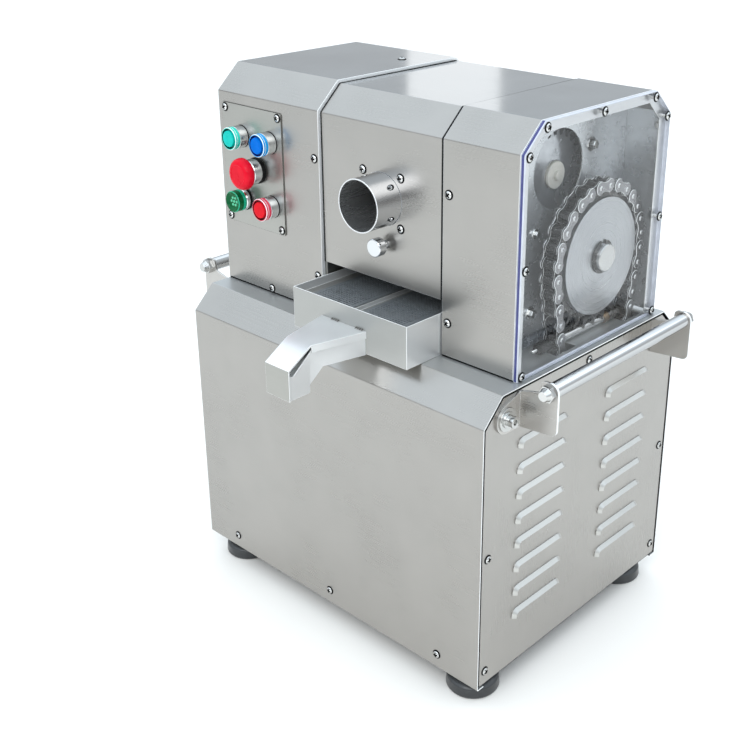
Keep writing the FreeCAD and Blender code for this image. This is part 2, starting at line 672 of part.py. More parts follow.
def cable_gland():
    """Gland for a supply lead, low on the left side."""
    centre = (GLAND_Y, GLAND_Z)
    face = PANEL_OUT + SEAT
    nut = prism("yz", polygon(centre, GLAND_THREAD_R + 4, 6), face, face + 6)
    dome = rod("yz", centre, GLAND_THREAD_R + 1, face + 6, face + 16)
    thread = rod("yz", centre, GLAND_THREAD_R, PANEL_IN - 8, face)
    inner = prism("yz", polygon(centre, GLAND_THREAD_R + 4, 6), PANEL_IN - 6, PANEL_IN - SEAT)
    body = joined([nut, dome, thread, inner])
    return mirrored_x(body.cut(rod("yz", centre, GLAND_THREAD_R - 5, PANEL_IN - 9, face + 17)))


# ---------------------------------------------------------------- head covers and bearing plates
SEAM = 1.0
STAND = DECK + SEAT
ARCH_R = [0] + [BEND_R + SHEET] * 4 + [0]
BAY_MID = (LEFT_PLATE_IN + RIGHT_PLATE_IN) / 2
PANEL_MID_X = LEFT + PANEL_X
PANEL_MID_Z = DECK + PANEL_UP
FEED_AXIS = (FEED_X, DECK + FEED_UP)
KNOB_AXIS = (KNOB_X, DECK + KNOB_UP)
BAY_FRONT = HEAD_FRONT + ROLL_COVER_INSET
BAY_BACK = HEAD_BACK - ROLL_COVER_INSET
CHUTE_START = (MAIN_Y + (MAIN_R + 1.5) * math.cos(math.radians(20)), MAIN_Z + (MAIN_R + 1.5) * math.sin(math.radians(20)))
CHUTE_END = (HEAD_BACK + OUTLET_OUT, CHUTE_START[1] - OUTLET_FALL)
CHUTE_SLOPE = (CHUTE_END[1] - CHUTE_START[1]) / (CHUTE_END[0] - CHUTE_START[0])
OUTLET_BOTTOM = CHUTE_START[1] + CHUTE_SLOPE * (BAY_BACK - CHUTE_START[0]) - SHEET - FIT_GAP
SHAFTS = [((MAIN_Y, MAIN_Z), MAIN_SHAFT_D / 2), ((TOP_Y, TOP_Z), TOP_SHAFT_D / 2), ((FEED_Y, FEED_Z), FEED_SHAFT_D / 2)]
TIES = [(HEAD_FRONT + TIE_TOP_FRONT, HEAD_TOP - TIE_TOP_DROP), (HEAD_BACK - TIE_TOP_REAR, HEAD_TOP - TIE_TOP_DROP),
        (HEAD_BACK - TIE_REAR, TOP_Z - TIE_REAR_DROP), (HEAD_FRONT + TIE_LOW_FRONT, DECK + TIE_LOW_UP)]
PORT = (TOP_Y - PORT_FORWARD, TOP_Z + PORT_UP)
WALL_FRONT = RIGHT - PARTITION_X


def arch_plate(inset, low, high, bottom=STAND, radii=0):
    return prism("yz", head_arch(inset, bottom), low, high, radii)


def cover(inset, low, high):
    return folded(head_arch(inset, STAND), head_arch(inset + SHEET, STAND), low, high)


def rim(inset, width, low, high):
    """Folded rim standing inwards round a housing's end."""
    return arch_plate(inset, low, high, STAND, ARCH_R).cut(arch_plate(inset + width, low - 1, high + 1, DECK - 1))


def left_housing():
    shell = cover(0, LEFT, CONTROL_END)
    wall = arch_plate(0, LEFT, LEFT + SHEET, STAND, ARCH_R)
    edge = rim(0, PLATE_INSET - FIT_GAP, CONTROL_END - SHEET, CONTROL_END)
    window = block((PANEL_MID_X - PANEL_W / 2 + 10, PANEL_MID_X + PANEL_W / 2 - 10), (HEAD_FRONT - 1, HEAD_FRONT + SHEET + 1),
                   (PANEL_MID_Z - PANEL_H / 2 + 10, PANEL_MID_Z + PANEL_H / 2 - 10))
    return joined([shell, wall, edge]).cut(window)


def centre_housing():
    high = ROLL_END + COVER_LAP
    shell = cover(ROLL_COVER_INSET, CONTROL_END + SEAM, high)
    sill = DECK + ROLL_COVER_SILL
    shell = shell.cut(block((CONTROL_END, high + 1), (BAY_FRONT - 1, BAY_FRONT + 2 * SHEET), (DECK - 1, sill)))
    lip = block((LEFT_PLATE_IN + FIT_GAP, RIGHT_PLATE_IN - FIT_GAP), (BAY_FRONT + SHEET / 2, BAY_FRONT + 12), (sill, sill + SHEET))
    cuts = [rod("xz", FEED_AXIS, FEED_D / 2 + FIT_GAP, BAY_FRONT - 1, BAY_FRONT + 2 * SHEET),
            rod("xz", KNOB_AXIS, KNOB_STEM_D / 2 + FIT_GAP, BAY_FRONT - 1, BAY_FRONT + 2 * SHEET),
            block((BAY_MID - OUTLET_W / 2 - FIT_GAP, BAY_MID + OUTLET_W / 2 + FIT_GAP), (BAY_BACK - 2 * SHEET, BAY_BACK + 1),
                  (OUTLET_BOTTOM, OUTLET_BOTTOM + OUTLET_H))]
    return joined([shell, lip]).cut(cuts)


def right_housing():
    shell = cover(CHAIN_COVER_INSET, ROLL_END, WINDOW_IN)
    return joined([shell, rim(CHAIN_COVER_INSET, END_FLANGE, WINDOW_IN - SHEET, WINDOW_IN)])


def window_pane():
    return arch_plate(CHAIN_COVER_INSET, WINDOW_IN + SEAT, WINDOW_OUT, STAND, ARCH_R)


def window_screw_spots():
    inset = CHAIN_COVER_INSET + END_FLANGE / 2
    bottom_front, front, top_front, top_back, back, bottom_back = head_arch(inset, DECK + 6.0)
    middle = (front[1] + bottom_front[1]) / 2
    return [bottom_front, (front[0], middle), front, top_front, ((top_front[0] + top_back[0]) / 2, top_front[1]),
            top_back, back, (back[0], middle), bottom_back]


def window_screws():
    return group([screw("yz", spot, WINDOW_OUT, 1) for spot in window_screw_spots()])


def bearing_plates():
    plates = []
    for low, high in ((LEFT_PLATE_OUT, LEFT_PLATE_IN), (RIGHT_PLATE_IN, RIGHT_PLATE_OUT)):
        plate = arch_plate(PLATE_INSET, low, high)
        plates.append(plate.cut([rod("yz", c, r + BUSH_WALL + SHAFT_FIT, low - 1, high + 1) for c, r in SHAFTS]))
    return group(plates)


def bushes(outer, inner):
    """Flanged bushes of one plate; the flange lies on the plate's inner face."""
    inward = 1 if inner > outer else -1
    seat = inner + inward * SEAT
    face = seat + inward * BUSH_FLANGE
    made = []
    for centre, radius in SHAFTS:
        sleeve = rod("yz", centre, radius + BUSH_WALL, min(outer, face), max(outer, face))
        flange = rod("yz", centre, radius + BUSH_WALL + 4, min(seat, face), max(seat, face))
        bore = rod("yz", centre, radius + SHAFT_FIT, min(outer, face) - 1, max(outer, face) + 1)
        made.append(joined([sleeve, flange]).cut(bore))
    return made


def bearing_bushes():
    return group(bushes(LEFT_PLATE_OUT, LEFT_PLATE_IN) + bushes(RIGHT_PLATE_OUT, RIGHT_PLATE_IN))


def tie_rods():
    return group([rod("yz", c, TIE_D / 2, LEFT_PLATE_IN + SEAT, RIGHT_PLATE_IN - SEAT) for c in TIES])


def polar(centre, radius, degrees):
    a = math.radians(degrees)
    return (centre[0] + radius * math.cos(a), centre[1] + radius * math.sin(a))


def turner_bar():
    """Bar under the top roller that turns the crushed cane from the first nip to the second."""
    feed = (FEED_Y, FEED_Z)
    main = (MAIN_Y, MAIN_Z)
    corners = [polar(feed, FEED_R + NIP, 8), polar(main, MAIN_R + NIP, 175), polar(main, MAIN_R + 3 * NIP, 133)]
    return prism("yz", corners, LEFT_PLATE_IN + SEAT, RIGHT_PLATE_IN - SEAT, 1.0)


def partition():
    low = WALL_FRONT - PARTITION_T
    inset = CHAIN_COVER_INSET + SHEET + FIT_GAP
    wall = arch_plate(inset, low, WALL_FRONT)
    foot = block((low, WALL_FRONT + PARTITION_FLANGE), (HEAD_FRONT + inset, HEAD_BACK - inset), (STAND, STAND + PARTITION_T))
    wall = joined([wall, foot])
    return wall.cut([rod("yz", PORT, PORT_R, low - 1, WALL_FRONT + 1),
                     rod("yz", (MAIN_Y, MAIN_Z), MAIN_SHAFT_D / 2 + 6, low - 1, WALL_FRONT + 1)])


def bagasse_chute():
    """Sloped trough that carries the pressed cane out at the back."""
    start, end = CHUTE_START, CHUTE_END
    low = BAY_MID - OUTLET_W / 2
    high = BAY_MID + OUTLET_W / 2
    floor = prism("yz", [start, end, (end[0], end[1] - SHEET), (start[0], start[1] - SHEET)], low, high)
    side = [(start[0], start[1] - SHEET), (end[0], end[1] - SHEET), (end[0], end[1] + OUTLET_WALL / 2),
            (end[0] - OUTLET_WALL / 2, end[1] + OUTLET_WALL), (start[0] + OUTLET_WALL / 2, end[1] + OUTLET_WALL)]
    walls = [prism("yz", side, x, x + SHEET) for x in (low, high - SHEET)]
    return joined([floor] + walls)


# ---------------------------------------------------------------- rollers, shafts and gears
ROLL_LOW = LEFT_PLATE_IN + SEAT + BUSH_FLANGE + SIDE_GAP
ROLL_HIGH = RIGHT_PLATE_IN - SEAT - BUSH_FLANGE - SIDE_GAP
GEAR_LOW = RIGHT_PLATE_OUT + GEAR_GAP
GEAR_HIGH = GEAR_LOW + GEAR_FACE
SHAFT_LOW = LEFT_PLATE_OUT - 4.0
DISC_FRONT = CHAIN_MID + SPROCKET_T / 2 + WHEEL_DISC_T
HUB_FIT = 0.02


def roller(centre, radius, shaft_r):
    """Pressing roller with shallow grooves along it."""
    body = rod("yz", centre, radius, ROLL_LOW, ROLL_HIGH)
    groove = [(centre[0] + radius - FLUTE_DEPTH, centre[1]), (centre[0] + radius + 1, centre[1] + 2 * FLUTE_DEPTH),
              (centre[0] + radius + 1, centre[1] - 2 * FLUTE_DEPTH)]
    cutter = prism("yz", groove, ROLL_LOW - 1, ROLL_HIGH + 1)
    axis_point = V(0, centre[0], centre[1])
    grooves = [cutter.rotated(axis_point, V(1, 0, 0), 360.0 * i / ROLLER_FLUTES) for i in range(ROLLER_FLUTES)]
    return body.cut(grooves + [rod("yz", centre, shaft_r + HUB_FIT, ROLL_LOW - 1, ROLL_HIGH + 1)])


def half_tooth(radius, pitch_r, teeth):
    """Half of a tooth's angle at a radius, for an involute tooth."""
    base_r = pitch_r * math.cos(math.radians(PRESSURE_ANGLE))

    def involute(angle):
        return math.tan(angle) - angle
    at_pitch = (math.pi / 2 * GEAR_MODULE - BACKLASH) / 2 / pitch_r
    here = math.acos(min(1.0, base_r / max(radius, base_r)))
    return at_pitch + involute(math.radians(PRESSURE_ANGLE)) - involute(here)


def gear(centre, teeth, tooth_angle, bore_r):
    """Spur gear with one tooth centred on the given direction."""
    pitch_r = GEAR_MODULE * teeth / 2
    tip_r = pitch_r + GEAR_MODULE
    root_r = pitch_r - 1.25 * GEAR_MODULE
    outline = []
    for i in range(teeth):
        middle = math.radians(tooth_angle) + 2 * math.pi * i / teeth
        for radius, side in ((root_r, -1), (tip_r, -1), (tip_r, 1), (root_r, 1)):
            angle = middle + side * half_tooth(radius, pitch_r, teeth)
            outline.append((centre[0] + radius * math.cos(angle), centre[1] + radius * math.sin(angle)))
    blank = prism("yz", outline, GEAR_LOW, GEAR_HIGH)
    return blank.cut(rod("yz", centre, bore_r + HUB_FIT, GEAR_LOW - 1, GEAR_HIGH + 1))


def gear_phases():
    """Direction of one tooth on the main, top and feed gears, so that they stand in mesh."""
    main = TOP_ANGLE
    top = TOP_ANGLE + 180 + 180 / TOP_TEETH
    step = 360 / TOP_TEETH
    lead = (top - FEED_ANGLE + step / 2) % step - step / 2
    feed = FEED_ANGLE + 180 - lead * TOP_TEETH / FEED_TEETH + 180 / FEED_TEETH
    return main, top, feed


def sprocket_outline(centre, teeth, roller_angle):
    """Tooth form with a seat for each chain roller; one roller lies on the given direction."""
    pitch_r = CHAIN_PITCH / 2 / math.sin(math.pi / teeth)
    tip_r = CHAIN_PITCH * (0.6 + 1 / math.tan(math.pi / teeth)) / 2
    corner = math.radians(27.5)
    seat_r = (CHAIN_ROLLER_D / 2 + CHAIN_GAP) / math.cos(corner)
    half = math.pi / teeth
    points = []
    for i in range(teeth):
        a = math.radians(roller_angle) + 2 * half * i
        out = (math.cos(a), math.sin(a))
        along = (-out[1], out[0])
        for turn in (-3 * corner, -corner, corner, 3 * corner):
            inward = pitch_r - seat_r * math.cos(turn)
            side = seat_r * math.sin(turn)
            points.append((centre[0] + inward * out[0] + side * along[0], centre[1] + inward * out[1] + side * along[1]))
        for tip in (a + half - TOOTH_LAND / 2 / tip_r, a + half + TOOTH_LAND / 2 / tip_r):
            points.append((centre[0] + tip_r * math.cos(tip), centre[1] + tip_r * math.sin(tip)))
    return points


def main_sprocket():
    centre = (MAIN_Y, MAIN_Z)
    half = SPROCKET_T / 2
    first = 90.0 + (180.0 / WHEEL_TEETH if WHEEL_WRAP % 2 else 0.0)
    teeth = prism("yz", sprocket_outline(centre, WHEEL_TEETH, first), CHAIN_MID - half, CHAIN_MID + half)
    disc = rod("yz", centre, WHEEL_DISC_D / 2, CHAIN_MID + half, DISC_FRONT)
    hub = rod("yz", centre, MAIN_SHAFT_D, WALL_FRONT + 3, CHAIN_MID - half)
    return joined([teeth, disc, hub]).cut(rod("yz", centre, MAIN_SHAFT_D / 2 + HUB_FIT, WALL_FRONT, DISC_FRONT + 1))


def drive_sprocket():
    centre = (MAIN_Y, DRIVE_Z)
    half = SPROCKET_T / 2
    first = -90.0 + (180.0 / PINION_TEETH if PINION_WRAP % 2 else 0.0)
    teeth = prism("yz", sprocket_outline(centre, PINION_TEETH, first), CHAIN_MID - half, CHAIN_MID + half)
    hub = rod("yz", centre, PINION_HUB_D / 2, GEARBOX_FACE + 4, CHAIN_MID - half)
    return joined([teeth, hub]).cut(rod("yz", centre, OUTPUT_SHAFT_D / 2 + HUB_FIT, GEARBOX_FACE, CHAIN_MID + half + 1))


def retaining_ring():
    low = DISC_FRONT + SEAT
    centre = (MAIN_Y, MAIN_Z)
    whole = ring("yz", centre, RING_D / 2, MAIN_SHAFT_D / 2 + HUB_FIT, low, low + RING_T)
    opening = block((low - 1, low + RING_T + 1), (MAIN_Y - 4, MAIN_Y + 4), (MAIN_Z, MAIN_Z + RING_D))
    return whole.cut(opening)


def main_shaft():
    centre = (MAIN_Y, MAIN_Z)
    body = rod("yz", centre, MAIN_SHAFT_D / 2, SHAFT_LOW, DISC_FRONT + SHAFT_NOSE)
    nose = [e for e in body.Edges if e.BoundBox.XMin > DISC_FRONT]
    return body.makeChamfer(1.2, nose)


def top_shaft():
    return rod("yz", (TOP_Y, TOP_Z), TOP_SHAFT_D / 2, SHAFT_LOW, GEAR_HIGH)


def top_washer():
    low = GEAR_HIGH + SEAT
    top = low + END_WASHER_T
    disc = rod("yz", (TOP_Y, TOP_Z), END_WASHER_D / 2, low, top)
    head = prism("yz", polygon((TOP_Y, TOP_Z), END_HEAD_D / 2, 6), top, top + END_HEAD_T)
    return joined([disc, head])


def feed_shaft():
    return rod("yz", (FEED_Y, FEED_Z), FEED_SHAFT_D / 2, SHAFT_LOW, GEAR_HIGH)


# ---------------------------------------------------------------- roller chain
def chain_points():
    """Roller centres in order round the loop, starting at the wheel's front end."""
    wheel = (MAIN_Y, MAIN_Z)
    pinion = (MAIN_Y, DRIVE_Z)
    top_arc = [polar(wheel, WHEEL_PITCH_R, 90 + math.degrees(WHEEL_HALF) * (1 - 2 * i / WHEEL_WRAP)) for i in range(WHEEL_WRAP + 1)]
    foot_arc = [polar(pinion, PINION_PITCH_R, -90 + math.degrees(PINION_HALF) * (1 - 2 * i / PINION_WRAP)) for i in range(PINION_WRAP + 1)]

    def run(start, end):
        return [(start[0] + (end[0] - start[0]) * i / SPAN_LINKS, start[1] + (end[1] - start[1]) * i / SPAN_LINKS)
                for i in range(1, SPAN_LINKS)]
    return top_arc + run(top_arc[-1], foot_arc[0]) + foot_arc + run(foot_arc[-1], top_arc[0])


def link_plate(low):
    """Side plate of a link that lies along +Y from the origin."""
    r = CHAIN_PLATE_H / 2
    waist = r * 0.7
    left = [polar((0, 0), r, a) for a in (112, 158, 202, 248)]
    right = [polar((CHAIN_PITCH, 0), r, a) for a in (-68, -22, 22, 68)]
    outline = left + [(CHAIN_PITCH / 2, -waist)] + right + [(CHAIN_PITCH / 2, waist)]
    return prism("yz", outline, low, low + CHAIN_PLATE_T)


def inner_link():
    half = CHAIN_INNER_W / 2
    ends = [(0, 0), (CHAIN_PITCH, 0)]
    plates = [link_plate(-half - CHAIN_PLATE_T), link_plate(half)]
    rollers = [prism("yz", polygon(c, CHAIN_ROLLER_D / 2, 8, math.pi / 8), -half, half) for c in ends]
    bores = [prism("yz", polygon(c, CHAIN_PIN_D / 2 * 1.2, 6), -CHAIN_INNER_W, CHAIN_INNER_W) for c in ends]
    return joined(plates + rollers).cut(bores)


def outer_link():
    half = CHAIN_INNER_W / 2 + CHAIN_PLATE_T + CHAIN_GAP
    plates = [link_plate(-half - CHAIN_PLATE_T), link_plate(half)]
    pins = [prism("yz", polygon(c, CHAIN_PIN_D / 2, 6), -half - CHAIN_PLATE_T, half + CHAIN_PLATE_T) for c in [(0, 0), (CHAIN_PITCH, 0)]]
    return joined(plates + pins)


def chain_links(link, first):
    points = chain_points()
    made = []
    for i in range(first, len(points), 2):
        start = points[i]
        end = points[(i + 1) % len(points)]
        angle = math.degrees(math.atan2(end[1] - start[1], end[0] - start[0]))
        turned = link.rotated(V(0, 0, 0), V(1, 0, 0), angle)
        made.append(turned.translated(V(CHAIN_MID, start[0], start[1])))
    return group(made)


# ---------------------------------------------------------------- gearmotor
GEARBOX_FACE = CHAIN_MID - SPROCKET_T / 2 - 22.0
GEARBOX_LOW = GEARBOX_FACE - FLANGE_T - GEARBOX_L
MOTOR_HIGH = GEARBOX_LOW - SEAT


def gearbox():
    centre = (MAIN_Y, DRIVE_Z)
    body = rod("yz", centre, GEARBOX_D / 2, GEARBOX_LOW, GEARBOX_FACE - FLANGE_T)
    flange = rod("yz", centre, FLANGE_D / 2, GEARBOX_FACE - FLANGE_T, GEARBOX_FACE)
    foot = block((GEARBOX_LOW + 12, GEARBOX_FACE - FLANGE_T - 12), (MAIN_Y - MOTOR_FOOT_W / 2, MAIN_Y + MOTOR_FOOT_W / 2),
                 (SHELF_TOP + SEAT, SHELF_TOP + MOTOR_FOOT_T))
    web = block((GEARBOX_LOW + 24, GEARBOX_FACE - FLANGE_T - 24), (MAIN_Y - GEARBOX_D * 0.3, MAIN_Y + GEARBOX_D * 0.3),
                (SHELF_TOP + MOTOR_FOOT_T - 1, DRIVE_Z - GEARBOX_D / 3))
    bore = rod("yz", centre, OUTPUT_SHAFT_D / 2 + SHAFT_FIT, GEARBOX_FACE - 32, GEARBOX_FACE + 1)
    return joined([body, flange, foot, web]).cut(bore)


def motor():
    """Finned motor with its fan cowl and terminal box."""
    centre = (MAIN_Y, DRIVE_Z)
    low = MOTOR_HIGH - MOTOR_L
    core_r = MOTOR_D / 2 - FIN_H
    outline = []
    for i in range(MOTOR_FINS):
        middle = 360.0 * i / MOTOR_FINS
        width = math.degrees(FIN_T / 2 / core_r)
        outline += [polar(centre, core_r, middle - width), polar(centre, MOTOR_D / 2, middle - width * 0.7),
                    polar(centre, MOTOR_D / 2, middle + width * 0.7), polar(centre, core_r, middle + width)]
    finned = prism("yz", outline, low + 50, MOTOR_HIGH - 12)
    bell = rod("yz", centre, MOTOR_D / 2, MOTOR_HIGH - 12, MOTOR_HIGH)
    cowl = rod("yz", centre, MOTOR_D / 2 + 1, low, low + 50)
    box = block((MOTOR_HIGH - 110, MOTOR_HIGH - 25), (MAIN_Y - 40, MAIN_Y + 40), (DRIVE_Z + core_r - 6, DRIVE_Z + MOTOR_D / 2 + 30))
    return joined([finned, bell, cowl, box])


def motor_shelf():
    return block((-TUBE_OUT, TUBE_OUT), (MAIN_Y - MOTOR_FOOT_W / 2 - 12, MAIN_Y + MOTOR_FOOT_W / 2 + 12), (SHELF_TOP - SHELF_T + SEAT, SHELF_TOP))


def output_shaft():
    return rod("yz", (MAIN_Y, DRIVE_Z), OUTPUT_SHAFT_D / 2, GEARBOX_FACE - 30, CHAIN_MID + SPROCKET_T / 2 + 4)


# ---------------------------------------------------------------- cane feed
def feed_tube():
    outer_r = FEED_D / 2
    flange_low = BAY_FRONT + SHEET + SEAT
    half = FEED_FLANGE / 2
    tube = rod("xz", FEED_AXIS, outer_r, BAY_FRONT - FEED_OUT, BAY_FRONT + FEED_IN)
    flange = prism("xz", [(FEED_X + a * half, FEED_AXIS[1] + b * half) for a, b in SQUARE], flange_low, flange_low + FEED_FLANGE_T, 6)
    return joined([tube, flange]).cut(rod("xz", FEED_AXIS, outer_r - FEED_WALL, BAY_FRONT - FEED_OUT - 1, BAY_FRONT + FEED_IN + 1))


def cover_screws():
    """Screws of the housings, the feed tube's flange and the push-button plate."""
    half = FEED_SCREW_SQUARE / 2
    made = [screw("xz", (FEED_X + a * half, FEED_AXIS[1] + b * half), BAY_FRONT, -1) for a, b in SQUARE]
    x = PANEL_W / 2 - PLATE_SCREW_INSET
    z = PANEL_H / 2 - PLATE_SCREW_INSET
    made += [screw("xz", (PANEL_MID_X + a * x, PANEL_MID_Z + b * z), PLATE_FACE, -1) for a, b in SQUARE]
    left_x = LEFT_PLATE_OUT + SCREW_D / 2 + FIT_GAP
    right_x = (RIGHT_PLATE_IN + RIGHT_PLATE_OUT) / 2
    left_spots = [(left_x, DECK + up) for up in LEFT_SCREW_UPS] + [(LEFT + FOOT_SCREW_X, DECK + FOOT_SCREW_UP)]
    right_spots = [(right_x, DECK + up) for up in RIGHT_SCREW_UPS]
    for inset, spots in ((0.0, left_spots), (CHAIN_COVER_INSET, right_spots)):
        made += [screw("xz", spot, HEAD_FRONT + inset, -1) for spot in spots]
        made += [screw("xz", spot, HEAD_BACK - inset, 1) for spot in spots]
    made += [screw("xy", (LEFT + ROOF_SCREW_X, HEAD_FRONT + ROOF_SCREW_Y), HEAD_TOP, 1)]
    return group(made)


def thumb_screw():
    low = BAY_FRONT - KNOB_STEM - KNOB_T
    knob = rod("xz", KNOB_AXIS, KNOB_D / 2, low, low + KNOB_T)
    knob = knob.makeChamfer(1.0, knob.Edges[:1] + knob.Edges[2:3])
    stem = rod("xz", KNOB_AXIS, KNOB_STEM_D / 2, low + KNOB_T, BAY_FRONT + 12)
    return joined([knob, stem])


def thumb_nut():
    """Nut plate behind the front for the thumb screw."""
    low = BAY_FRONT + SHEET + SEAT
    return prism("xz", polygon(KNOB_AXIS, 11.0, 6), low, low + 7).cut(rod("xz", KNOB_AXIS, KNOB_STEM_D / 2 + SHAFT_FIT, low - 1, low + 8))


# ---------------------------------------------------------------- juice tray and spout
TRAY_FRONT = HEAD_FRONT - TRAY_OUT
TRAY_REAR = HEAD_FRONT + TRAY_BACK
TRAY_LOW = BAY_MID - TRAY_W / 2
TRAY_HIGH = BAY_MID + TRAY_W / 2
TRAY_FLOOR = DECK + TRAY_LIFT
TRAY_TOP = TRAY_FLOOR + TRAY_H
LEDGE_TOP = TRAY_TOP - SCREEN_DROP - SCREEN_T - SEAT
TIP = FRONT - SPOUT_REACH
FLAT_END = TRAY_FRONT - SPOUT_FLAT
SPOUT_Z = DECK + SPOUT_TOP
SPOUT_PASS_W = 56.0
SPOUT_PASS_H = 20.0


def juice_tray():
    outer = block((TRAY_LOW, TRAY_HIGH), (TRAY_FRONT, TRAY_REAR), (TRAY_FLOOR, TRAY_TOP))
    inside_x = (TRAY_LOW + TRAY_WALL, TRAY_HIGH - TRAY_WALL)
    inside_y = (TRAY_FRONT + TRAY_WALL, TRAY_REAR - TRAY_WALL)
    shell = outer.cut(block(inside_x, inside_y, (TRAY_FLOOR + TRAY_WALL, TRAY_TOP + 1)))
    shelf = (LEDGE_TOP - TRAY_WALL, LEDGE_TOP)
    width = SCREEN_EDGE + 4.0
    ledges = [block((TRAY_LOW, TRAY_LOW + width), (TRAY_FRONT, TRAY_REAR), shelf),
              block((TRAY_HIGH - width, TRAY_HIGH), (TRAY_FRONT, TRAY_REAR), shelf)]
    half = SCREEN_CHANNEL / 2 + 4.0
    beam = block((BAY_MID - half, BAY_MID + half), (TRAY_FRONT, TRAY_REAR), (shelf[0] - 5.0, shelf[1]))
    groove = block((BAY_MID - SCREEN_CHANNEL / 2 + 2, BAY_MID + SCREEN_CHANNEL / 2 - 2), inside_y, (shelf[0] - 5.0 + TRAY_WALL, shelf[1] + 1))
    tray = joined([shell, beam] + ledges).cut(groove)
    passage = block((SPOUT_X - SPOUT_PASS_W / 2, SPOUT_X + SPOUT_PASS_W / 2), (TRAY_FRONT - 1, TRAY_FRONT + 2 * TRAY_WALL),
                    (TRAY_FLOOR + TRAY_WALL, TRAY_FLOOR + TRAY_WALL + SPOUT_PASS_H))
    return tray.cut(passage)


def strainer_screens():
    length = (TRAY_FRONT + TRAY_WALL + FIT_GAP, TRAY_REAR - TRAY_WALL - FIT_GAP)
    z = (LEDGE_TOP + SEAT, LEDGE_TOP + SEAT + SCREEN_T)
    half = SCREEN_CHANNEL / 2
    return group([block((TRAY_LOW + SCREEN_EDGE, BAY_MID - half), length, z), block((BAY_MID + half, TRAY_HIGH - SCREEN_EDGE), length, z)])


def spout_plan(widen):
    """Spout outline seen from above, as a tall solid."""
    back = SPOUT_W_BACK / 2 + widen
    front = SPOUT_W_FRONT / 2 + widen
    plan = [(SPOUT_X - back, TRAY_FRONT - SEAT), (SPOUT_X - front, FLAT_END), (SPOUT_X - front, TIP - 1), (SPOUT_X + front, TIP - 1),
            (SPOUT_X + front, FLAT_END), (SPOUT_X + back, TRAY_FRONT - SEAT)]
    return prism("xy", plan, DECK - 2 * SPOUT_DEPTH - SPOUT_LIP_H, DECK + 2 * SPOUT_DEPTH)


def spout_side(inset):
    """Spout outline seen from the side, in (y, z)."""
    drop = SPOUT_Z - SPOUT_DROP
    low = drop - SPOUT_LIP_H
    mouth = TIP + SPOUT_MOUTH
    throat = SPOUT_Z - SPOUT_DEPTH
    back = TRAY_FRONT + (1.0 if inset else 0.0)
    return [(back, SPOUT_Z - inset), (FLAT_END + inset * 0.3, SPOUT_Z - inset), (TIP + inset, drop - inset * 0.5),
            (TIP + inset, low - inset), (mouth - inset, low - inset), (mouth - inset, low + 10.0),
            (mouth + 17.0, throat + inset), (back, throat + inset)]


def spout():
    """Tapered trough, open at its mouth and under its cover."""
    x = (SPOUT_X - SPOUT_W_BACK, SPOUT_X + SPOUT_W_BACK)
    body = spout_plan(0).common(prism("yz", spout_side(0), x[0], x[1]))
    inside = spout_plan(-SHEET).common(prism("yz", spout_side(SHEET), x[0], x[1]))
    shell = body.cut(inside)
    drop = SPOUT_Z - SPOUT_DROP
    off = SHEET + SEAT
    lid = [(TRAY_FRONT + 1, SPOUT_Z - off), (FLAT_END + 6, SPOUT_Z - off), (FLAT_END, SPOUT_Z - 9), (TIP + 8, drop - 9),
           (TIP + off, drop - 9), (TIP + off, drop - SPOUT_LIP_H - 3), (TIP - 2, drop - SPOUT_LIP_H - 3), (TIP - 2, SPOUT_Z + 2), (TRAY_FRONT + 1, SPOUT_Z + 2)]
    return shell.cut(prism("yz", lid, x[0], x[1]))


def spout_cover():
    """Folded cover with short side lips, and the upright front of the spout."""
    x = (SPOUT_X - SPOUT_W_BACK, SPOUT_X + SPOUT_W_BACK)
    wide = spout_plan(SHEET + SEAT).common(prism("yz", spout_side(0), x[0], x[1]))
    hollow = spout_plan(SEAT).common(prism("yz", spout_side(SHEET), x[0], x[1]))
    shell = wide.cut(hollow)
    drop = SPOUT_Z - SPOUT_DROP
    lip = SPOUT_Z - SPOUT_COVER_LIP
    keep = [(TRAY_FRONT, SPOUT_Z + 1), (TRAY_FRONT, lip), (FLAT_END + 2, lip), (FLAT_END + 1, SPOUT_Z - SHEET - 0.5), (TIP + SHEET, drop - SHEET),
            (TIP + SHEET, drop - SPOUT_LIP_H - 1), (TIP - 1, drop - SPOUT_LIP_H - 1), (TIP - 1, SPOUT_Z + 1)]
    return shell.common(prism("yz", keep, x[0], x[1]))


# ---------------------------------------------------------------- push-button plate
PLATE_FACE = HEAD_FRONT - SEAT - PANEL_T
BEZEL_RECESS = 12.0
GREEN = (PANEL_MID_X + BUTTON_COLUMNS[0], PANEL_MID_Z + BUTTON_ROW_UP)
BLUE = (PANEL_MID_X + BUTTON_COLUMNS[1], PANEL_MID_Z + BUTTON_ROW_UP)
RED = (PANEL_MID_X + BUTTON_COLUMNS[1], PANEL_MID_Z + BUTTON_ROW_DOWN)
PILOT = (PANEL_MID_X + BUTTON_COLUMNS[0], PANEL_MID_Z + BUTTON_ROW_DOWN)
STOP = (PANEL_MID_X + STOP_X, PANEL_MID_Z + STOP_UP)
BLOCK_FRONT = HEAD_FRONT + 16.0


def button_plate():
    half_w = PANEL_W / 2
    half_h = PANEL_H / 2
    plate = prism("xz", [(PANEL_MID_X + a * half_w, PANEL_MID_Z + b * half_h) for a, b in SQUARE], PLATE_FACE, PLATE_FACE + PANEL_T, 3.0)
    return plate.cut([rod("xz", c, BUTTON_HOLE_D / 2, PLATE_FACE - 1, HEAD_FRONT + 1) for c in (GREEN, BLUE, RED, PILOT, STOP)])


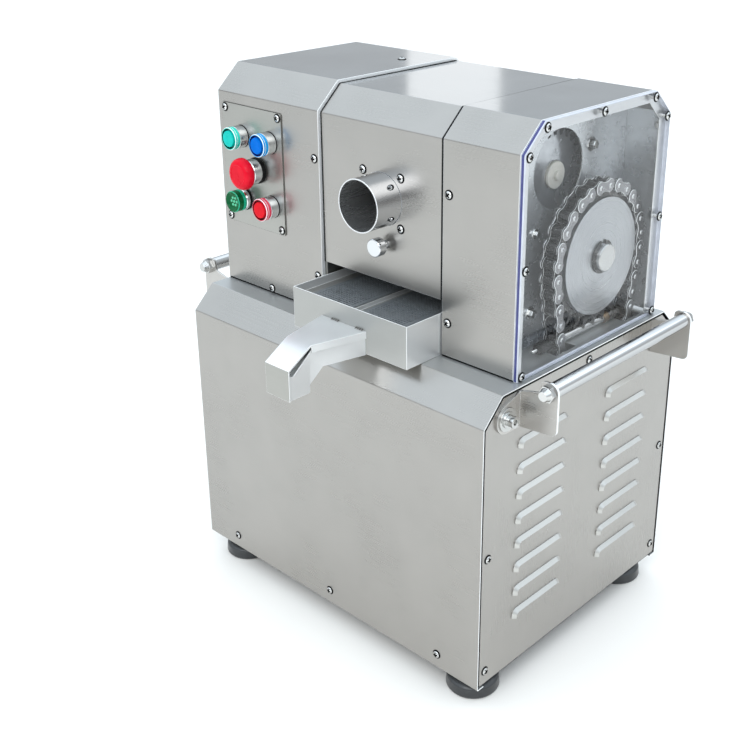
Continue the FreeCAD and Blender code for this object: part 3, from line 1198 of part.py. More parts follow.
def bezel(centre, outer_r, out, recess_r, bore_r):
    """Button collar: front ring with a recess, and the threaded neck through the plate."""
    face = PLATE_FACE - SEAT
    front = rod("xz", centre, outer_r, face - out, face)
    neck = rod("xz", centre, BUTTON_HOLE_D / 2 - SHAFT_FIT, face, BLOCK_FRONT - SEAT)
    recess = rod("xz", centre, recess_r, face - out - 1, face - out + BEZEL_RECESS)
    bore = rod("xz", centre, bore_r, face - out - 1, BLOCK_FRONT + 1)
    return joined([front, neck]).cut([recess, bore])


def button_bezels():
    bore = BUTTON_STEM_D / 2 + FIT_GAP
    made = [bezel(c, BEZEL_D / 2, BEZEL_OUT, BUTTON_D / 2 + FIT_GAP, bore) for c in (GREEN, BLUE, RED)]
    made.append(bezel(PILOT, BEZEL_D / 2, PILOT_RING_OUT, bore, bore))
    return group(made + [bezel(STOP, STOP_COLLAR_D / 2, STOP_COLLAR_OUT, bore, bore)])


def switch_gear():
    """Switch blocks behind the plate, and the contactors on their rail."""
    half = SWITCH_BLOCK_W / 2
    solids = []
    for c in (GREEN, BLUE, RED, PILOT, STOP):
        body = block((c[0] - half, c[0] + half), (BLOCK_FRONT, BLOCK_FRONT + SWITCH_BLOCK_L), (c[1] - half * 0.9, c[1] + half * 0.9))
        solids.append(body.cut(rod("xz", c, BUTTON_STEM_D / 2 + FIT_GAP, BLOCK_FRONT - 1, BLOCK_FRONT + 10)))
    back = HEAD_BACK - SHEET - SEAT
    rail_low = DECK + DIN_RAIL_UP
    solids.append(block((LEFT + DIN_RAIL_LEFT, CONTROL_END - DIN_RAIL_RIGHT), (back - DIN_RAIL_T, back),
                        (rail_low, rail_low + DIN_RAIL_W)))
    foot = back - DIN_RAIL_T - SEAT
    low = rail_low + (DIN_RAIL_W - CONTACTOR_H) / 2
    for i in range(2):
        x = LEFT + DIN_RAIL_LEFT + 10.0 + i * CONTACTOR_STEP
        solids.append(block((x, x + CONTACTOR_W), (foot - CONTACTOR_L, foot), (low, low + CONTACTOR_H)))
    return group(solids)


def push_button(centre):
    """Button cap with its stem; the stem reaches into the switch block and has room to travel."""
    front = PLATE_FACE - SEAT - BEZEL_OUT - BUTTON_PROUD
    back = PLATE_FACE - SEAT - BEZEL_OUT + BEZEL_RECESS - BUTTON_TRAVEL - 1.0
    cap = rod("xz", centre, BUTTON_D / 2, front, back)
    cap = cap.makeChamfer(0.8, [e for e in cap.Edges if e.BoundBox.YMax < front + EPS])
    return joined([cap, rod("xz", centre, BUTTON_STEM_D / 2, back, BLOCK_FRONT + 10 - BUTTON_TRAVEL - 1.0)])


def pilot_lens():
    """Lens on its ring, with a spigot in the ring's bore."""
    front = PLATE_FACE - SEAT - BEZEL_OUT
    back = PLATE_FACE - 2 * SEAT - PILOT_RING_OUT
    lens = rod("xz", PILOT, PILOT_LENS_D / 2, front, back)
    lens = lens.makeChamfer(1.0, [e for e in lens.Edges if e.BoundBox.YMax < front + EPS])
    return joined([lens, rod("xz", PILOT, BUTTON_STEM_D / 2, back, back + PILOT_SPIGOT)])


def stop_stem():
    back = PLATE_FACE - STOP_OUT + STOP_HEAD_T
    return rod("xz", STOP, BUTTON_STEM_D / 2, back - STOP_STEM_IN, BLOCK_FRONT + 10 - STOP_TRAVEL - 1.0)


def stop_head():
    """Mushroom head that turns on its stem."""
    front = PLATE_FACE - STOP_OUT
    back = front + STOP_HEAD_T
    r = STOP_D / 2
    profile = [(0, front), (r * 0.7, front), (r * 0.9, front + 2.0), (r, front + 5.0), (r, back - 2.0),
               (r - 1.2, back), (0, back)]
    face = Part.Face(rounded_wire("xy", [(STOP[0] + a, y) for a, y in profile], 0, STOP[1]))
    head = face.revolve(V(STOP[0], 0, STOP[1]), V(0, 1, 0), 360)
    recess = rod("xz", STOP, STOP_COLLAR_D / 2 + 2 * FIT_GAP, back - STOP_HEAD_RECESS, back + 1)
    return head.cut([recess, rod("xz", STOP, BUTTON_STEM_D / 2 + SHAFT_FIT, back - STOP_STEM_IN - SEAT, back + 1)])


# ---------------------------------------------------------------- sub-parts
def sub_parts():
    main_phase, top_phase, feed_phase = gear_phases()
    main = (MAIN_Y, MAIN_Z)
    top = (TOP_Y, TOP_Z)
    feed = (FEED_Y, FEED_Z)
    return {
        "cabinet_wrap": cabinet_wrap(),
        "right_side_panel": right_side_panel(),
        "left_side_panel": left_side_panel(),
        "base_plate": base_plate(),
        "frame_tubes": frame_tubes(),
        "rubber_feet": rubber_feet(),
        "foot_bolts": foot_bolts(),
        "cabinet_screws": cabinet_screws(),
        "cable_gland": cable_gland(),
        "handle_brackets": handle_brackets(),
        "handle_tubes": handle_tubes(),
        "handle_fasteners": handle_fasteners(),
        "control_housing": left_housing(),
        "roller_housing": centre_housing(),
        "chain_housing": right_housing(),
        "window_pane": window_pane(),
        "window_screws": window_screws(),
        "partition_wall": partition(),
        "bearing_plates": bearing_plates(),
        "bearing_bushes": bearing_bushes(),
        "tie_rods": tie_rods(),
        "turner_bar": turner_bar(),
        "bagasse_chute": bagasse_chute(),
        "main_shaft": main_shaft(),
        "main_roller": roller(main, MAIN_R, MAIN_SHAFT_D / 2),
        "main_gear": gear(main, MAIN_TEETH, main_phase, MAIN_SHAFT_D / 2),
        "main_sprocket": main_sprocket(),
        "retaining_ring": retaining_ring(),
        "top_shaft": top_shaft(),
        "top_roller": roller(top, TOP_R, TOP_SHAFT_D / 2),
        "top_gear": gear(top, TOP_TEETH, top_phase, TOP_SHAFT_D / 2),
        "top_washer": top_washer(),
        "feed_shaft": feed_shaft(),
        "feed_roller": roller(feed, FEED_R, FEED_SHAFT_D / 2),
        "feed_gear": gear(feed, FEED_TEETH, feed_phase, FEED_SHAFT_D / 2),
        "chain_inner_links": chain_links(inner_link(), 0),
        "chain_outer_links": chain_links(outer_link(), 1),
        "drive_sprocket": drive_sprocket(),
        "output_shaft": output_shaft(),
        "gearbox": gearbox(),
        "motor": motor(),
        "motor_shelf": motor_shelf(),
        "feed_tube": feed_tube(),
        "cover_screws": cover_screws(),
        "thumb_screw": thumb_screw(),
        "thumb_nut": thumb_nut(),
        "juice_tray": juice_tray(),
        "strainer_screens": strainer_screens(),
        "spout": spout(),
        "spout_cover": spout_cover(),
        "button_plate": button_plate(),
        "button_bezels": button_bezels(),
        "switch_gear": switch_gear(),
        "green_button": push_button(GREEN),
        "blue_button": push_button(BLUE),
        "red_button": push_button(RED),
        "pilot_lens": pilot_lens(),
        "stop_stem": stop_stem(),
        "stop_head": stop_head(),
    }


def main():
    os.makedirs("parts", exist_ok=True)
    for name, shape in sub_parts().items():
        shape.exportStep(os.path.join("parts", name + ".step"))


main()
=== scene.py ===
"""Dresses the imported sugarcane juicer: sheet metal, fasteners, chain, screens, buttons, light and camera.

Every length in a class is in millimetres unless its name says otherwise. Meshes are in metres.
"""

import json
import logging
import math
from dataclasses import dataclass
from enum import Enum
from typing import Any, Callable, Iterator, Sequence

import bmesh
import bpy
from mathutils import Matrix, Vector
from mathutils.geometry import convex_hull_2d


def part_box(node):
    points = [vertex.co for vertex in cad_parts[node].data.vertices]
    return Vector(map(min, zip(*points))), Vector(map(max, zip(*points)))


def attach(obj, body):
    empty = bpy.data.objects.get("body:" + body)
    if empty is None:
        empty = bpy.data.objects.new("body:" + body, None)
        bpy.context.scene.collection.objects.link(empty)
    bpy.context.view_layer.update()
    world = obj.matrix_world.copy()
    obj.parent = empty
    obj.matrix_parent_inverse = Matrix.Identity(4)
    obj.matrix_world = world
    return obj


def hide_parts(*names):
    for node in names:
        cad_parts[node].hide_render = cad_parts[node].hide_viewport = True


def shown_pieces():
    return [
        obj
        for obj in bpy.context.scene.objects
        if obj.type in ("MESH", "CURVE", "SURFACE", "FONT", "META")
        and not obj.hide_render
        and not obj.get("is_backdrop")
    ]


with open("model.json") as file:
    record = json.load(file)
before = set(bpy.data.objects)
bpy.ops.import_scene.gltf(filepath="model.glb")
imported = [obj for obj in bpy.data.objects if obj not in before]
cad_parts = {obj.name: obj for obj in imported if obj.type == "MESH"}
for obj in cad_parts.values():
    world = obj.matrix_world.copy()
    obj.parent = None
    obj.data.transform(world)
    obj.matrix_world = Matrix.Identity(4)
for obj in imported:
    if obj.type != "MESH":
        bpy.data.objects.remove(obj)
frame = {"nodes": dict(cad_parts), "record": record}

Colour = tuple[float, float, float, float]
Face = bpy.types.MeshPolygon
Material = bpy.types.Material
Mesh = bpy.types.Mesh
Node = bpy.types.Node
Object = bpy.types.Object
Pair = tuple[float, float]
Shape = bmesh.types.BMesh
Triple = tuple[float, float, float]

MM = 0.001
DOUBLE_M = 2e-6  # vertices nearer than this are one
FLAT_DEG = 0.4  # faces that differ by less lie in one plane
FACING = 0.9  # least part of a normal along an axis for a face to look that way
LEVEL = 0.98  # the same for a level face beside a chamfer
LOG = logging.getLogger("juicer")
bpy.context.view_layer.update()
BODY_OF = {node: body for body, nodes in frame["record"]["behaviour"]["bodies"].items() for node in nodes}


class Grain(Enum):
    """Direction in which a sheet was brushed, as the pattern's scale along X, Y and Z."""

    ALONG_X = (0.02, 1.0, 1.0)
    ALONG_Y = (1.0, 0.02, 1.0)
    ALONG_Z = (1.0, 1.0, 0.02)
    NONE = (1.0, 1.0, 1.0)


class ButtonColour(Enum):
    """Colours of a push button's cap and band, the dark colour painted in its groove as shade, and the cap's
    index of refraction.
    """

    GREEN = ("#0cbdb1", "#32d2bc", "#06463e", 1.2)
    BLUE = ("#0067c8", "#189ce0", "#04126a", 1.1)
    RED = ("#d41c28", "#e0485e", "#5c040e", 1.12)

    @property
    def label(self) -> str:
        """Name of the colour, which starts the names of its finishes and of its button's node."""
        return self.name.lower()


def linear(code: str, share: float = 1.0, lift: float = 0.0) -> Colour:
    """Turn an sRGB hex colour into linear light, and make it darker or paler.

    Args:
        code: Colour such as "#b4b2ac".
        share: Factor on each linear channel.
        lift: Amount added to each linear channel.

    Returns:
        Linear red, green and blue of at most 1, with an alpha of 1.
    """
    parts = [int(code[i:i + 2], 16) / 255 for i in (1, 3, 5)]
    light = [p / 12.92 if p <= 0.04045 else ((p + 0.055) / 1.055) ** 2.4 for p in parts]
    return (*(min(1.0, p * share + lift) for p in light), 1.0)


class Graph:
    """A node tree that is being built."""

    def __init__(self, tree: bpy.types.NodeTree) -> None:
        """Take a tree and empty it."""
        self.tree = tree
        tree.nodes.clear()

    def plug(self, node: Node, sockets: dict[Any, Any]) -> None:
        """Fill input sockets of a node.

        Args:
            node: Node whose inputs are filled.
            sockets: Values by name or number; nodes and output sockets are linked, a list of them into one
                socket, and anything else is set.
        """
        for key, given in sockets.items():
            for value in given if isinstance(given, list) else [given]:
                if isinstance(value, Node):
                    value = next(out for out in value.outputs if out.enabled)
                if isinstance(value, bpy.types.NodeSocket):
                    self.tree.links.new(value, node.inputs[key])
                else:
                    node.inputs[key].default_value = value

    def node(self, kind: str, sockets: dict[Any, Any] | None = None, **settings: Any) -> Node:
        """Add a node with its settings and its sockets.

        Args:
            kind: Name of the node's type.
            sockets: Input sockets by name or number, as plug takes them.
            **settings: Properties of the node by name.

        Returns:
            The new node.
        """
        node = self.tree.nodes.new(kind)
        for name, value in settings.items():
            setattr(node, name, value)
        self.plug(node, sockets or {})
        return node

    def math(self, operation: str, *values: Any) -> Node:
        """Add a sum of numbers, sockets or other nodes."""
        return self.node("ShaderNodeMath", dict(enumerate(values)), operation=operation)


class Surface(Graph):
    """A material in the making: its shader, and the steps that the finishes share."""

    def __init__(self, name: str) -> None:
        """Start the material with a principled shader."""
        self.material = bpy.data.materials.new(name)
        self.material.use_nodes = True
        super().__init__(self.material.node_tree)
        self.shader = self.node("ShaderNodeBsdfPrincipled")
        self.node("ShaderNodeOutputMaterial", {"Surface": self.shader})

    def mapped(self, place: Triple, scale: Triple) -> Node:
        """Add Object coordinates, scaled and then moved."""
        coords = self.node("ShaderNodeTexCoord").outputs["Object"]
        return self.node("ShaderNodeMapping", {"Vector": coords, "Location": place, "Scale": scale})

    def noise(self, size_mm: float, detail: float, grain: Grain = Grain.NONE) -> Node:
        """Add noise whose features have a real size.

        Args:
            size_mm: Width of one feature across the grain.
            detail: Octaves of finer noise.
            grain: Direction along which the features are drawn out.

        Returns:
            The noise node.
        """
        moved = self.mapped((0.0, 0.0, 0.0), tuple(factor / (size_mm * MM) for factor in grain.value))
        return self.node("ShaderNodeTexNoise", {
            "Vector": moved, "Scale": 1.0, "Detail": detail, "Roughness": 0.6})

    def spread(self, source: Node, low: float, high: float) -> Node:
        """Map a noise's usual range onto two values."""
        return self.node("ShaderNodeMapRange", {
            "Value": source, "From Min": 0.3, "From Max": 0.7, "To Min": low, "To Max": high})

    def outline(self, power: float) -> Node:
        """Add a weight that grows by a power from 0, where seen straight on, to 1 at the outline."""
        weight = self.node("ShaderNodeLayerWeight", {"Blend": 0.5})
        return self.math("POWER", weight.outputs["Facing"], power)

    def tint(self, factor: Node, first: Colour, second: Colour) -> None:
        """Mix two colours into the base colour."""
        mix = self.node("ShaderNodeMix", {"Factor": factor, 6: first, 7: second}, data_type="RGBA")
        self.plug(self.shader, {"Base Color": mix.outputs[2]})

    def mottle(self, source: Node, first: Colour, second: Colour) -> None:
        """Mix two colours into the base colour by a noise."""
        self.tint(self.spread(source, 0.0, 1.0), first, second)

    def rough(self, source: Node, low: float, high: float) -> None:
        """Vary the roughness with a noise."""
        self.plug(self.shader, {"Roughness": self.spread(source, low, high)})

    def bump(self, source: Node, strength: float, depth_mm: float) -> None:
        """Raise and lower the surface with a noise."""
        relief = self.node("ShaderNodeBump", {
            "Strength": strength, "Distance": depth_mm * MM, "Height": source})
        self.plug(self.shader, {"Normal": relief})

    def done(self, values: dict[str, Any] | None = None) -> Material:
        """Fill the shader's remaining sockets and give the material."""
        self.plug(self.shader, values or {})
        return self.material


@dataclass(frozen=True)
class BrushedSteel:
    """Stainless sheet, brushed with a belt: satin, with drawn-out reflections and faint hairlines."""

    name: str
    hex: str = "#a9a6a2"
    grain: Grain = Grain.ALONG_X
    roughness: float = 0.3
    hairline_mm: float = 1.3
    hairline_depth: float = 0.012
    metallic: float = 1.0
    cloud_mm: float = 90.0
    uneven: float = 0.03

    def material(self) -> Material:
        """Build the material: hairlines in roughness and bump, and slow clouds in colour and sheen."""
        made = Surface(self.name)
        hair = made.noise(self.hairline_mm, 3.0, self.grain)
        cloud = made.noise(self.cloud_mm, 2.0)
        made.mottle(cloud, linear(self.hex, 0.95), linear(self.hex, 1.04))
        satin = made.spread(hair, self.roughness - self.uneven, self.roughness + self.uneven)
        made.bump(hair, self.hairline_depth, 0.4)
        clouded = made.math("ADD", made.spread(cloud, -self.uneven, self.uneven), satin)
        return made.done({"Roughness": clouded, "Metallic": self.metallic})


@dataclass(frozen=True)
class PolishedSteel:
    """Buffed or plated steel: near mirror, slight orange peel, wiped smears, and painted shade that darkens
    its colour towards the outline.
    """

    name: str
    hex: str = "#c9cacc"
    roughness: float = 0.09
    waviness_mm: float = 26.0
    waviness: float = 0.10
    metallic: float = 1.0
    # share of painted shade that darkens the colour where the surface turns away, at its outline
    outline: float = 0.0
    smear_mm: float = 14.0

    def material(self) -> Material:
        """Build the material: smears in roughness, a long, shallow waviness in the surface, and the painted
        shade at the outline.
        """
        made = Surface(self.name)
        made.rough(made.noise(self.smear_mm, 4.0), self.roughness * 0.85, self.roughness * 1.25)
        made.bump(made.noise(self.waviness_mm, 1.0), self.waviness, 2.0)
        # painted shade: the colour darkens towards the outline
        if self.outline:
            made.tint(made.outline(1.6), linear(self.hex), linear(self.hex, 1.0 - self.outline))
        else:
            made.done({"Base Color": linear(self.hex)})
        return made.done({"Metallic": self.metallic})


@dataclass(frozen=True)
class TurnedSteel:
    """Steel faced on a lathe about an X axis: fine rings that spread light into a bow-tie streak."""

    name: str
    axis_yz: Pair
    hex: str = "#a9a8a5"
    roughness: float = 0.26
    ring_mm: float = 1.2
    anisotropy: float = 0.75
    turn: float = 0.25
    stain_mm: float = 18.0
    uneven: float = 0.03

    def material(self) -> Material:
        """Build the material: rings from the distance to the axis, drawn coarse enough to show."""
        made = Surface(self.name)
        y, z = self.axis_yz
        centred = made.mapped((0.0, -y, -z), (0.0, 1.0, 1.0))
        radius = made.node("ShaderNodeVectorMath", {0: centred}, operation="LENGTH")
        turns = made.math("DIVIDE", radius.outputs["Value"], self.ring_mm * MM)
        rings = made.node("ShaderNodeTexNoise", {"W": turns, "Scale": 1.0, "Detail": 3.0},
                          noise_dimensions="1D")
        made.mottle(made.noise(self.stain_mm, 3.0), linear(self.hex, 0.94), linear(self.hex))
        made.rough(rings, self.roughness - self.uneven, self.roughness + self.uneven)
        made.bump(rings, 0.03, 0.2)
        return made.done({
            "Metallic": 1.0, "Anisotropic": self.anisotropy, "Anisotropic Rotation": self.turn,
            "Tangent": made.node("ShaderNodeTangent", direction_type="RADIAL", axis="X")})


@dataclass(frozen=True)
class MachinedSteel:
    """Milled, hobbed or rolled steel with a film of oil: grey, patchy, half glossy."""

    name: str
    hex: str = "#8d8c89"
    dark_hex: str = "#4c4a47"
    roughness: float = 0.32
    patch_mm: float = 6.0
    mark_depth: float = 0.12
    metallic: float = 1.0
    mark_mm: float = 0.9

    def material(self) -> Material:
        """Build the material: oil and rubbed patches in colour and roughness, fine tool marks in bump."""
        made = Surface(self.name)
        patch = made.noise(self.patch_mm, 5.0)
        made.mottle(patch, linear(self.dark_hex), linear(self.hex))
        made.rough(patch, self.roughness + 0.12, self.roughness - 0.08)
        made.bump(made.noise(self.mark_mm, 2.0), self.mark_depth, 0.2)
        return made.done({"Metallic": self.metallic})


@dataclass(frozen=True)
class PaintedSteel:
    """Sprayed enamel on steel or cast iron: an orange peel and a soft gloss."""

    name: str
    hex: str = "#5f6670"
    roughness: float = 0.38
    peel_mm: float = 2.2
    dust_mm: float = 30.0

    def material(self) -> Material:
        """Build the material: paint with an orange peel and slight dust in its colour."""
        made = Surface(self.name)
        dust = made.noise(self.dust_mm, 4.0)
        made.mottle(dust, linear(self.hex, 0.85), linear(self.hex))
        made.rough(dust, self.roughness - 0.06, self.roughness + 0.10)
        made.bump(made.noise(self.peel_mm, 1.0), 0.25, 0.3)
        return made.done()


@dataclass(frozen=True)
class Moulded:
    """Moulded plastic or rubber: an even colour with the mould's fine grain and a little handling dust."""

    name: str
    hex: str
    roughness: float = 0.4
    grain_depth: float = 0.12
    ior: float = 1.5
    coat: float = 0.0
    subsurface: float = 0.0
    grain_mm: float = 0.8
    dust_mm: float = 12.0

    def material(self) -> Material:
        """Build the material: mould grain in bump, dust in colour and roughness."""
        made = Surface(self.name)
        dust = made.noise(self.dust_mm, 3.0)
        made.mottle(dust, linear(self.hex, 0.9), linear(self.hex, 1.06, 0.003))
        made.rough(dust, self.roughness * 0.85, self.roughness * 1.2)
        made.bump(made.noise(self.grain_mm, 2.0), self.grain_depth, 0.1)
        values = {"IOR": self.ior, "Coat Weight": self.coat, "Coat Roughness": 0.04}
        if self.subsurface:
            values |= {"Subsurface Weight": self.subsurface, "Subsurface Radius": (1.0, 1.0, 1.0),
                       "Subsurface Scale": 2.0 * MM}
        return made.done(values)


@dataclass(frozen=True)
class BrightEdge:
    """Painted highlight on broken and cut edges of sheets: a pale, half-metal colour that stands in for the
    light they catch.
    """

    name: str
    hex: str = "#f3f4f4"
    metallic: float = 0.4
    roughness: float = 0.4
    scratch_mm: float = 1.0

    def material(self) -> Material:
        """Build the material: the pale, half-metal painted highlight, with scratches in its roughness."""
        made = Surface(self.name)
        made.rough(made.noise(self.scratch_mm, 3.0), self.roughness - 0.1, self.roughness + 0.1)
        return made.done({"Base Color": linear(self.hex), "Metallic": self.metallic})


@dataclass(frozen=True)
class SatinMetal:
    """Dull, mottled grey metal, punched or drawn; on the screens its grey is set dark as painted shade, since
    light reaches them only in part.
    """

    name: str
    hex: str
    metallic: float = 0.6
    roughness: float = 0.45
    mottle_mm: float = 8.0

    def material(self) -> Material:
        """Build the material: a mottled grey with an uneven sheen."""
        made = Surface(self.name)
        mottle = made.noise(self.mottle_mm, 3.0)
        made.mottle(mottle, linear(self.hex, 0.85), linear(self.hex))
        made.rough(mottle, self.roughness - 0.08, self.roughness + 0.08)
        return made.done({"Metallic": self.metallic})


@dataclass(frozen=True)
class ClearSheet:
    """Cast acrylic: clear, with the gloss of its two faces, which show the room over what is behind."""

    name: str
    hex: str = "#ffffff"
    straight_on: float = 0.012
    haze: float = 0.004
    wipe_mm: float = 60.0

    def material(self) -> Material:
        """Build the material: a thin mirror that covers more the flatter it is seen, over a faint haze."""
        made = Surface(self.name)
        wipe = made.noise(self.wipe_mm, 3.0)
        made.rough(wipe, 0.02, 0.06)
        shine = made.math("MULTIPLY_ADD", made.outline(5.0), 1.0 - self.straight_on, self.straight_on)
        cover = made.math("ADD", shine, made.spread(wipe, self.haze * 0.5, self.haze * 1.5))
        return made.done({"Alpha": cover, "Base Color": linear(self.hex), "Metallic": 1.0})


class Finishes:
    """Every finish on the juicer, each built once and handed out by name."""

    def __init__(self) -> None:
        """Build the materials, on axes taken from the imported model."""
        middles = [sum(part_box(node), Vector()) / 2 for node in ("main_sprocket", "top_gear")]
        wheel, top = [(middle.y, middle.z) for middle in middles]
        x, y, z = Grain.ALONG_X, Grain.ALONG_Y, Grain.ALONG_Z
        kinds = [
            BrushedSteel("stainless_wrap"),
            # paler, less metallic copy of the wrap for its level faces: painted light on the top
            BrushedSteel("stainless_deck", "#b9bbbb", x, 0.36, metallic=0.7),
            BrushedSteel("stainless_bracket", "#bdbab6", metallic=0.9),
            BrushedSteel("stainless_side", "#aba8a4", z),
            # paler copy of the side panel for the louvres' sloped faces: painted highlight
            BrushedSteel("stainless_hood", "#c6c5c1", z, 0.34, metallic=0.9),
            # paler copy for the chain housing's side round the window: painted light
            BrushedSteel("stainless_flange", "#cccdcf", z, 0.34, metallic=0.8),
            BrushedSteel("stainless_tray", "#aaaaa7", x, 0.34, metallic=0.75),
            # very pale copy of the tray steel: painted light on the spout and on the tray's side
            BrushedSteel("stainless_spout", "#e4e5e5", y, 0.36, metallic=0.66),
            BrushedSteel("stainless_plate", "#a9a8a3", x, 0.34),
            BrushedSteel("stainless_roof", "#a9acad", x, 0.13, hairline_depth=0.005),
            BrushedSteel("tube_inside", "#b8b9b9", y, 0.27, 2.5, 0.12, 0.86),
            # painted highlight for the broken and cut edges
            BrightEdge("bright_edge"),
            # grey set dark: painted shade of the bay the screens lie in
            SatinMetal("punched_sheet", "#959a9e", 0.6, 0.42),
            SatinMetal("weld_bead", "#8b8a87", 0.9, 0.3, 2.0),
            PolishedSteel("polished_wall", "#c6c9cc", 0.24, waviness=0.01, metallic=0.7),
            PolishedSteel("polished_sheet", roughness=0.07, waviness=0.03),
            # outline paints shade at the outline of the handle tubes, chrome parts and screw heads
            PolishedSteel("polished_tube", "#e0e1e2", 0.1, waviness=0.03, outline=0.85),
            PolishedSteel("chrome_plate", "#dcdee0", 0.06, 9.0, 0.02, outline=0.3),
            PolishedSteel("nickel_screw", "#dcdcda", 0.14, 3.0, 0.02, outline=0.8),
            TurnedSteel("turned_wheel", wheel, "#abadb0", 0.3),
            TurnedSteel("turned_shaft", wheel, "#bdbdbc", 0.2),
            TurnedSteel("turned_top", top, "#c9c7c0"),
            MachinedSteel("roller_steel", "#a3a19b", "#6e6c66", 0.28),
            MachinedSteel("gear_steel", "#bfc2c6", "#b0b3b7", 0.2, 30.0, 0.0, 0.72),
            MachinedSteel("chain_plate_steel", "#8f8f91", "#7e7e80", 0.26, 20.0, 0.0, 0.95),
            MachinedSteel("chain_roller_steel", "#5f5e5d", "#383736", 0.28, mark_depth=0.02),
            # near-black: painted shade in the screws' cross recesses and under their heads
            MachinedSteel("recess_steel", "#2a2a2a", "#101010", 0.6),
            MachinedSteel("bush_bronze", "#8a7358", "#54452f", 0.34),
            PaintedSteel("frame_paint", "#242527"),
            PaintedSteel("motor_enamel"),
            Moulded("foot_rubber", "#2a2c2e", 0.34, 0.15, coat=0.3, grain_mm=1.4),
            Moulded("black_nylon", "#0c0c0d", 0.5, ior=1.28),
            Moulded("cream_nylon", "#e8e5db", 0.36, subsurface=0.2),
            # near-white rings on the collars; on the rim's outer bevel it is a painted highlight
            Moulded("clear_ring", "#eef2f4", 0.1, 0.0),
            Moulded("stop_red", "#d50c27", 0.3, 0.02, 1.12, 0.15),
            Moulded("lens_green", "#075c33", 0.12, 0.0, 1.2, 0.12),
            Moulded("lens_rim", "#1eae86", 0.12, 0.0, 1.35),
            Moulded("lens_dots", "#5fc49a", 0.2, 0.0, 1.3),
            ClearSheet("acrylic_face"),
            Moulded("acrylic_edge", "#3b3f78", 0.12, 0.0, subsurface=0.3),
            Moulded("acrylic_rim", "#c6cad4", 0.12, 0.0),
        ]
        for colour in ButtonColour:
            cap, band, groove, ior = colour.value
            kinds += [Moulded(colour.label + "_cap", cap, 0.35, 0.02, ior),
                      Moulded(colour.label + "_band", band, 0.12, 0.0, 1.35),
                      # dark copy of the colour for the groove and well round the cap: painted shade
                      Moulded(colour.label + "_groove", groove, 0.3, 0.0, 1.3)]
        self.made = {kind.name: kind.material() for kind in kinds}

    def __getitem__(self, name: str) -> Material:
        """Give the material of that name."""
        return self.made[name]


def to_object(name: str, mesh: Mesh) -> Object:
    """Put a mesh in the scene, its object at the origin."""
    made = bpy.data.objects.new(name, mesh)
    bpy.context.scene.collection.objects.link(made)
    return made


def settled(obj: Object, name: str) -> Object:
    """Turn an object with modifiers into a plain mesh object and remove the first.

    Args:
        obj: Object whose modifiers are done.
        name: Name of the result.

    Returns:
        The plain object.
    """
    graph = bpy.context.evaluated_depsgraph_get()
    mesh = bpy.data.meshes.new_from_object(
        obj.evaluated_get(graph), preserve_all_data_layers=True, depsgraph=graph)
    bpy.data.objects.remove(obj)
    mesh.name = name
    return to_object(name, mesh)


def merged(node: str) -> Shape:
    """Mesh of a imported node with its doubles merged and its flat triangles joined.

    Args:
        node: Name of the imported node.

    Returns:
        A mesh that the caller frees.
    """
    bm = bmesh.new()
    bm.from_mesh(frame["nodes"][node].data)
    bmesh.ops.remove_doubles(bm, verts=bm.verts, dist=DOUBLE_M)
    bmesh.ops.dissolve_limit(bm, angle_limit=math.radians(FLAT_DEG), verts=bm.verts, edges=bm.edges,
                             use_dissolve_boundaries=False)
    return bm


def solids(node: str) -> Iterator[list[bmesh.types.BMVert]]:
    """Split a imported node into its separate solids.

    Args:
        node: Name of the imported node.

    Yields:
        The vertices of each solid, which last until the next one is asked for.
    """
    bm = merged(node)
    bm.verts.index_update()
    seen: set[int] = set()
    for start in bm.verts:
        if start.index in seen:
            continue
        seen.add(start.index)
        group, queue = [], [start]
        while queue:
            here = queue.pop()
            group.append(here)
            for edge in here.link_edges:
                other = edge.other_vert(here)
                if other.index not in seen:
                    seen.add(other.index)
                    queue.append(other)
        yield group
    bm.free()


def corners(group: Sequence[bmesh.types.BMVert]) -> tuple[Vector, Vector]:
    """Give the lowest and the highest corner of the box round some vertices."""
    low, high = [Vector([pick(v.co[i] for v in group) for i in range(3)]) for pick in (min, max)]
    return low, high


def stands_for(piece: Object, node: str) -> Object:
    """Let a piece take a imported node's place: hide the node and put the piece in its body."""
    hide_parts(node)
    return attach(piece, BODY_OF[node])


def bevelled(piece: Object, width: float, segments: int, limit: float, slot: int) -> None:
    """Break an object's edges with a modifier.

    Args:
        piece: Object that gets the modifier.
        width: Width of the broken edge.
        segments: Steps across it.
        limit: Least angle between faces that counts as an edge, in degrees.
        slot: Number of the finish on the broken edges; -1 keeps that of the faces beside.
    """
    bevel = piece.modifiers.new("edge", "BEVEL")
    bevel.width = width * MM
    bevel.segments = segments
    bevel.limit_method = "ANGLE"
    bevel.angle_limit = math.radians(limit)
    bevel.material = slot


def turned(bm: Shape, centre: Pair, profile: Sequence[tuple[float, ...]], segments: int = 56) -> None:
    """Add a closed turned shape about an axis along Y.

    Args:
        bm: Mesh that gets the shape.
        centre: The axis's place in X and Z, in millimetres.
        profile: Radius, place along Y and, unless it is 0, the number of the finish of the face that starts
            there, end to end.
        segments: Number of steps round the axis.
    """
    rows = []
    for radius, along, *_ in profile:
        count = 1 if radius < 1e-6 else segments
        steps = [2 * math.pi * i / segments for i in range(count)]
        rows.append([bm.verts.new(((centre[0] + radius * math.cos(a)) * MM, along * MM,
                                   (centre[1] + radius * math.sin(a)) * MM)) for a in steps])
    faces = []
    for first, second, (_, _, *finish) in zip(rows, rows[1:], profile):
        for i in range(segments):
            ring = [row[k % len(row)]
                    for row, k in ((first, i), (first, i + 1), (second, i + 1), (second, i))]
            unique = list(dict.fromkeys(ring))
            if len(unique) >= 3:
                face = bm.faces.new(unique)
                face.material_index = finish[0] if finish else 0
                faces.append(face)
    bmesh.ops.recalc_face_normals(bm, faces=faces)


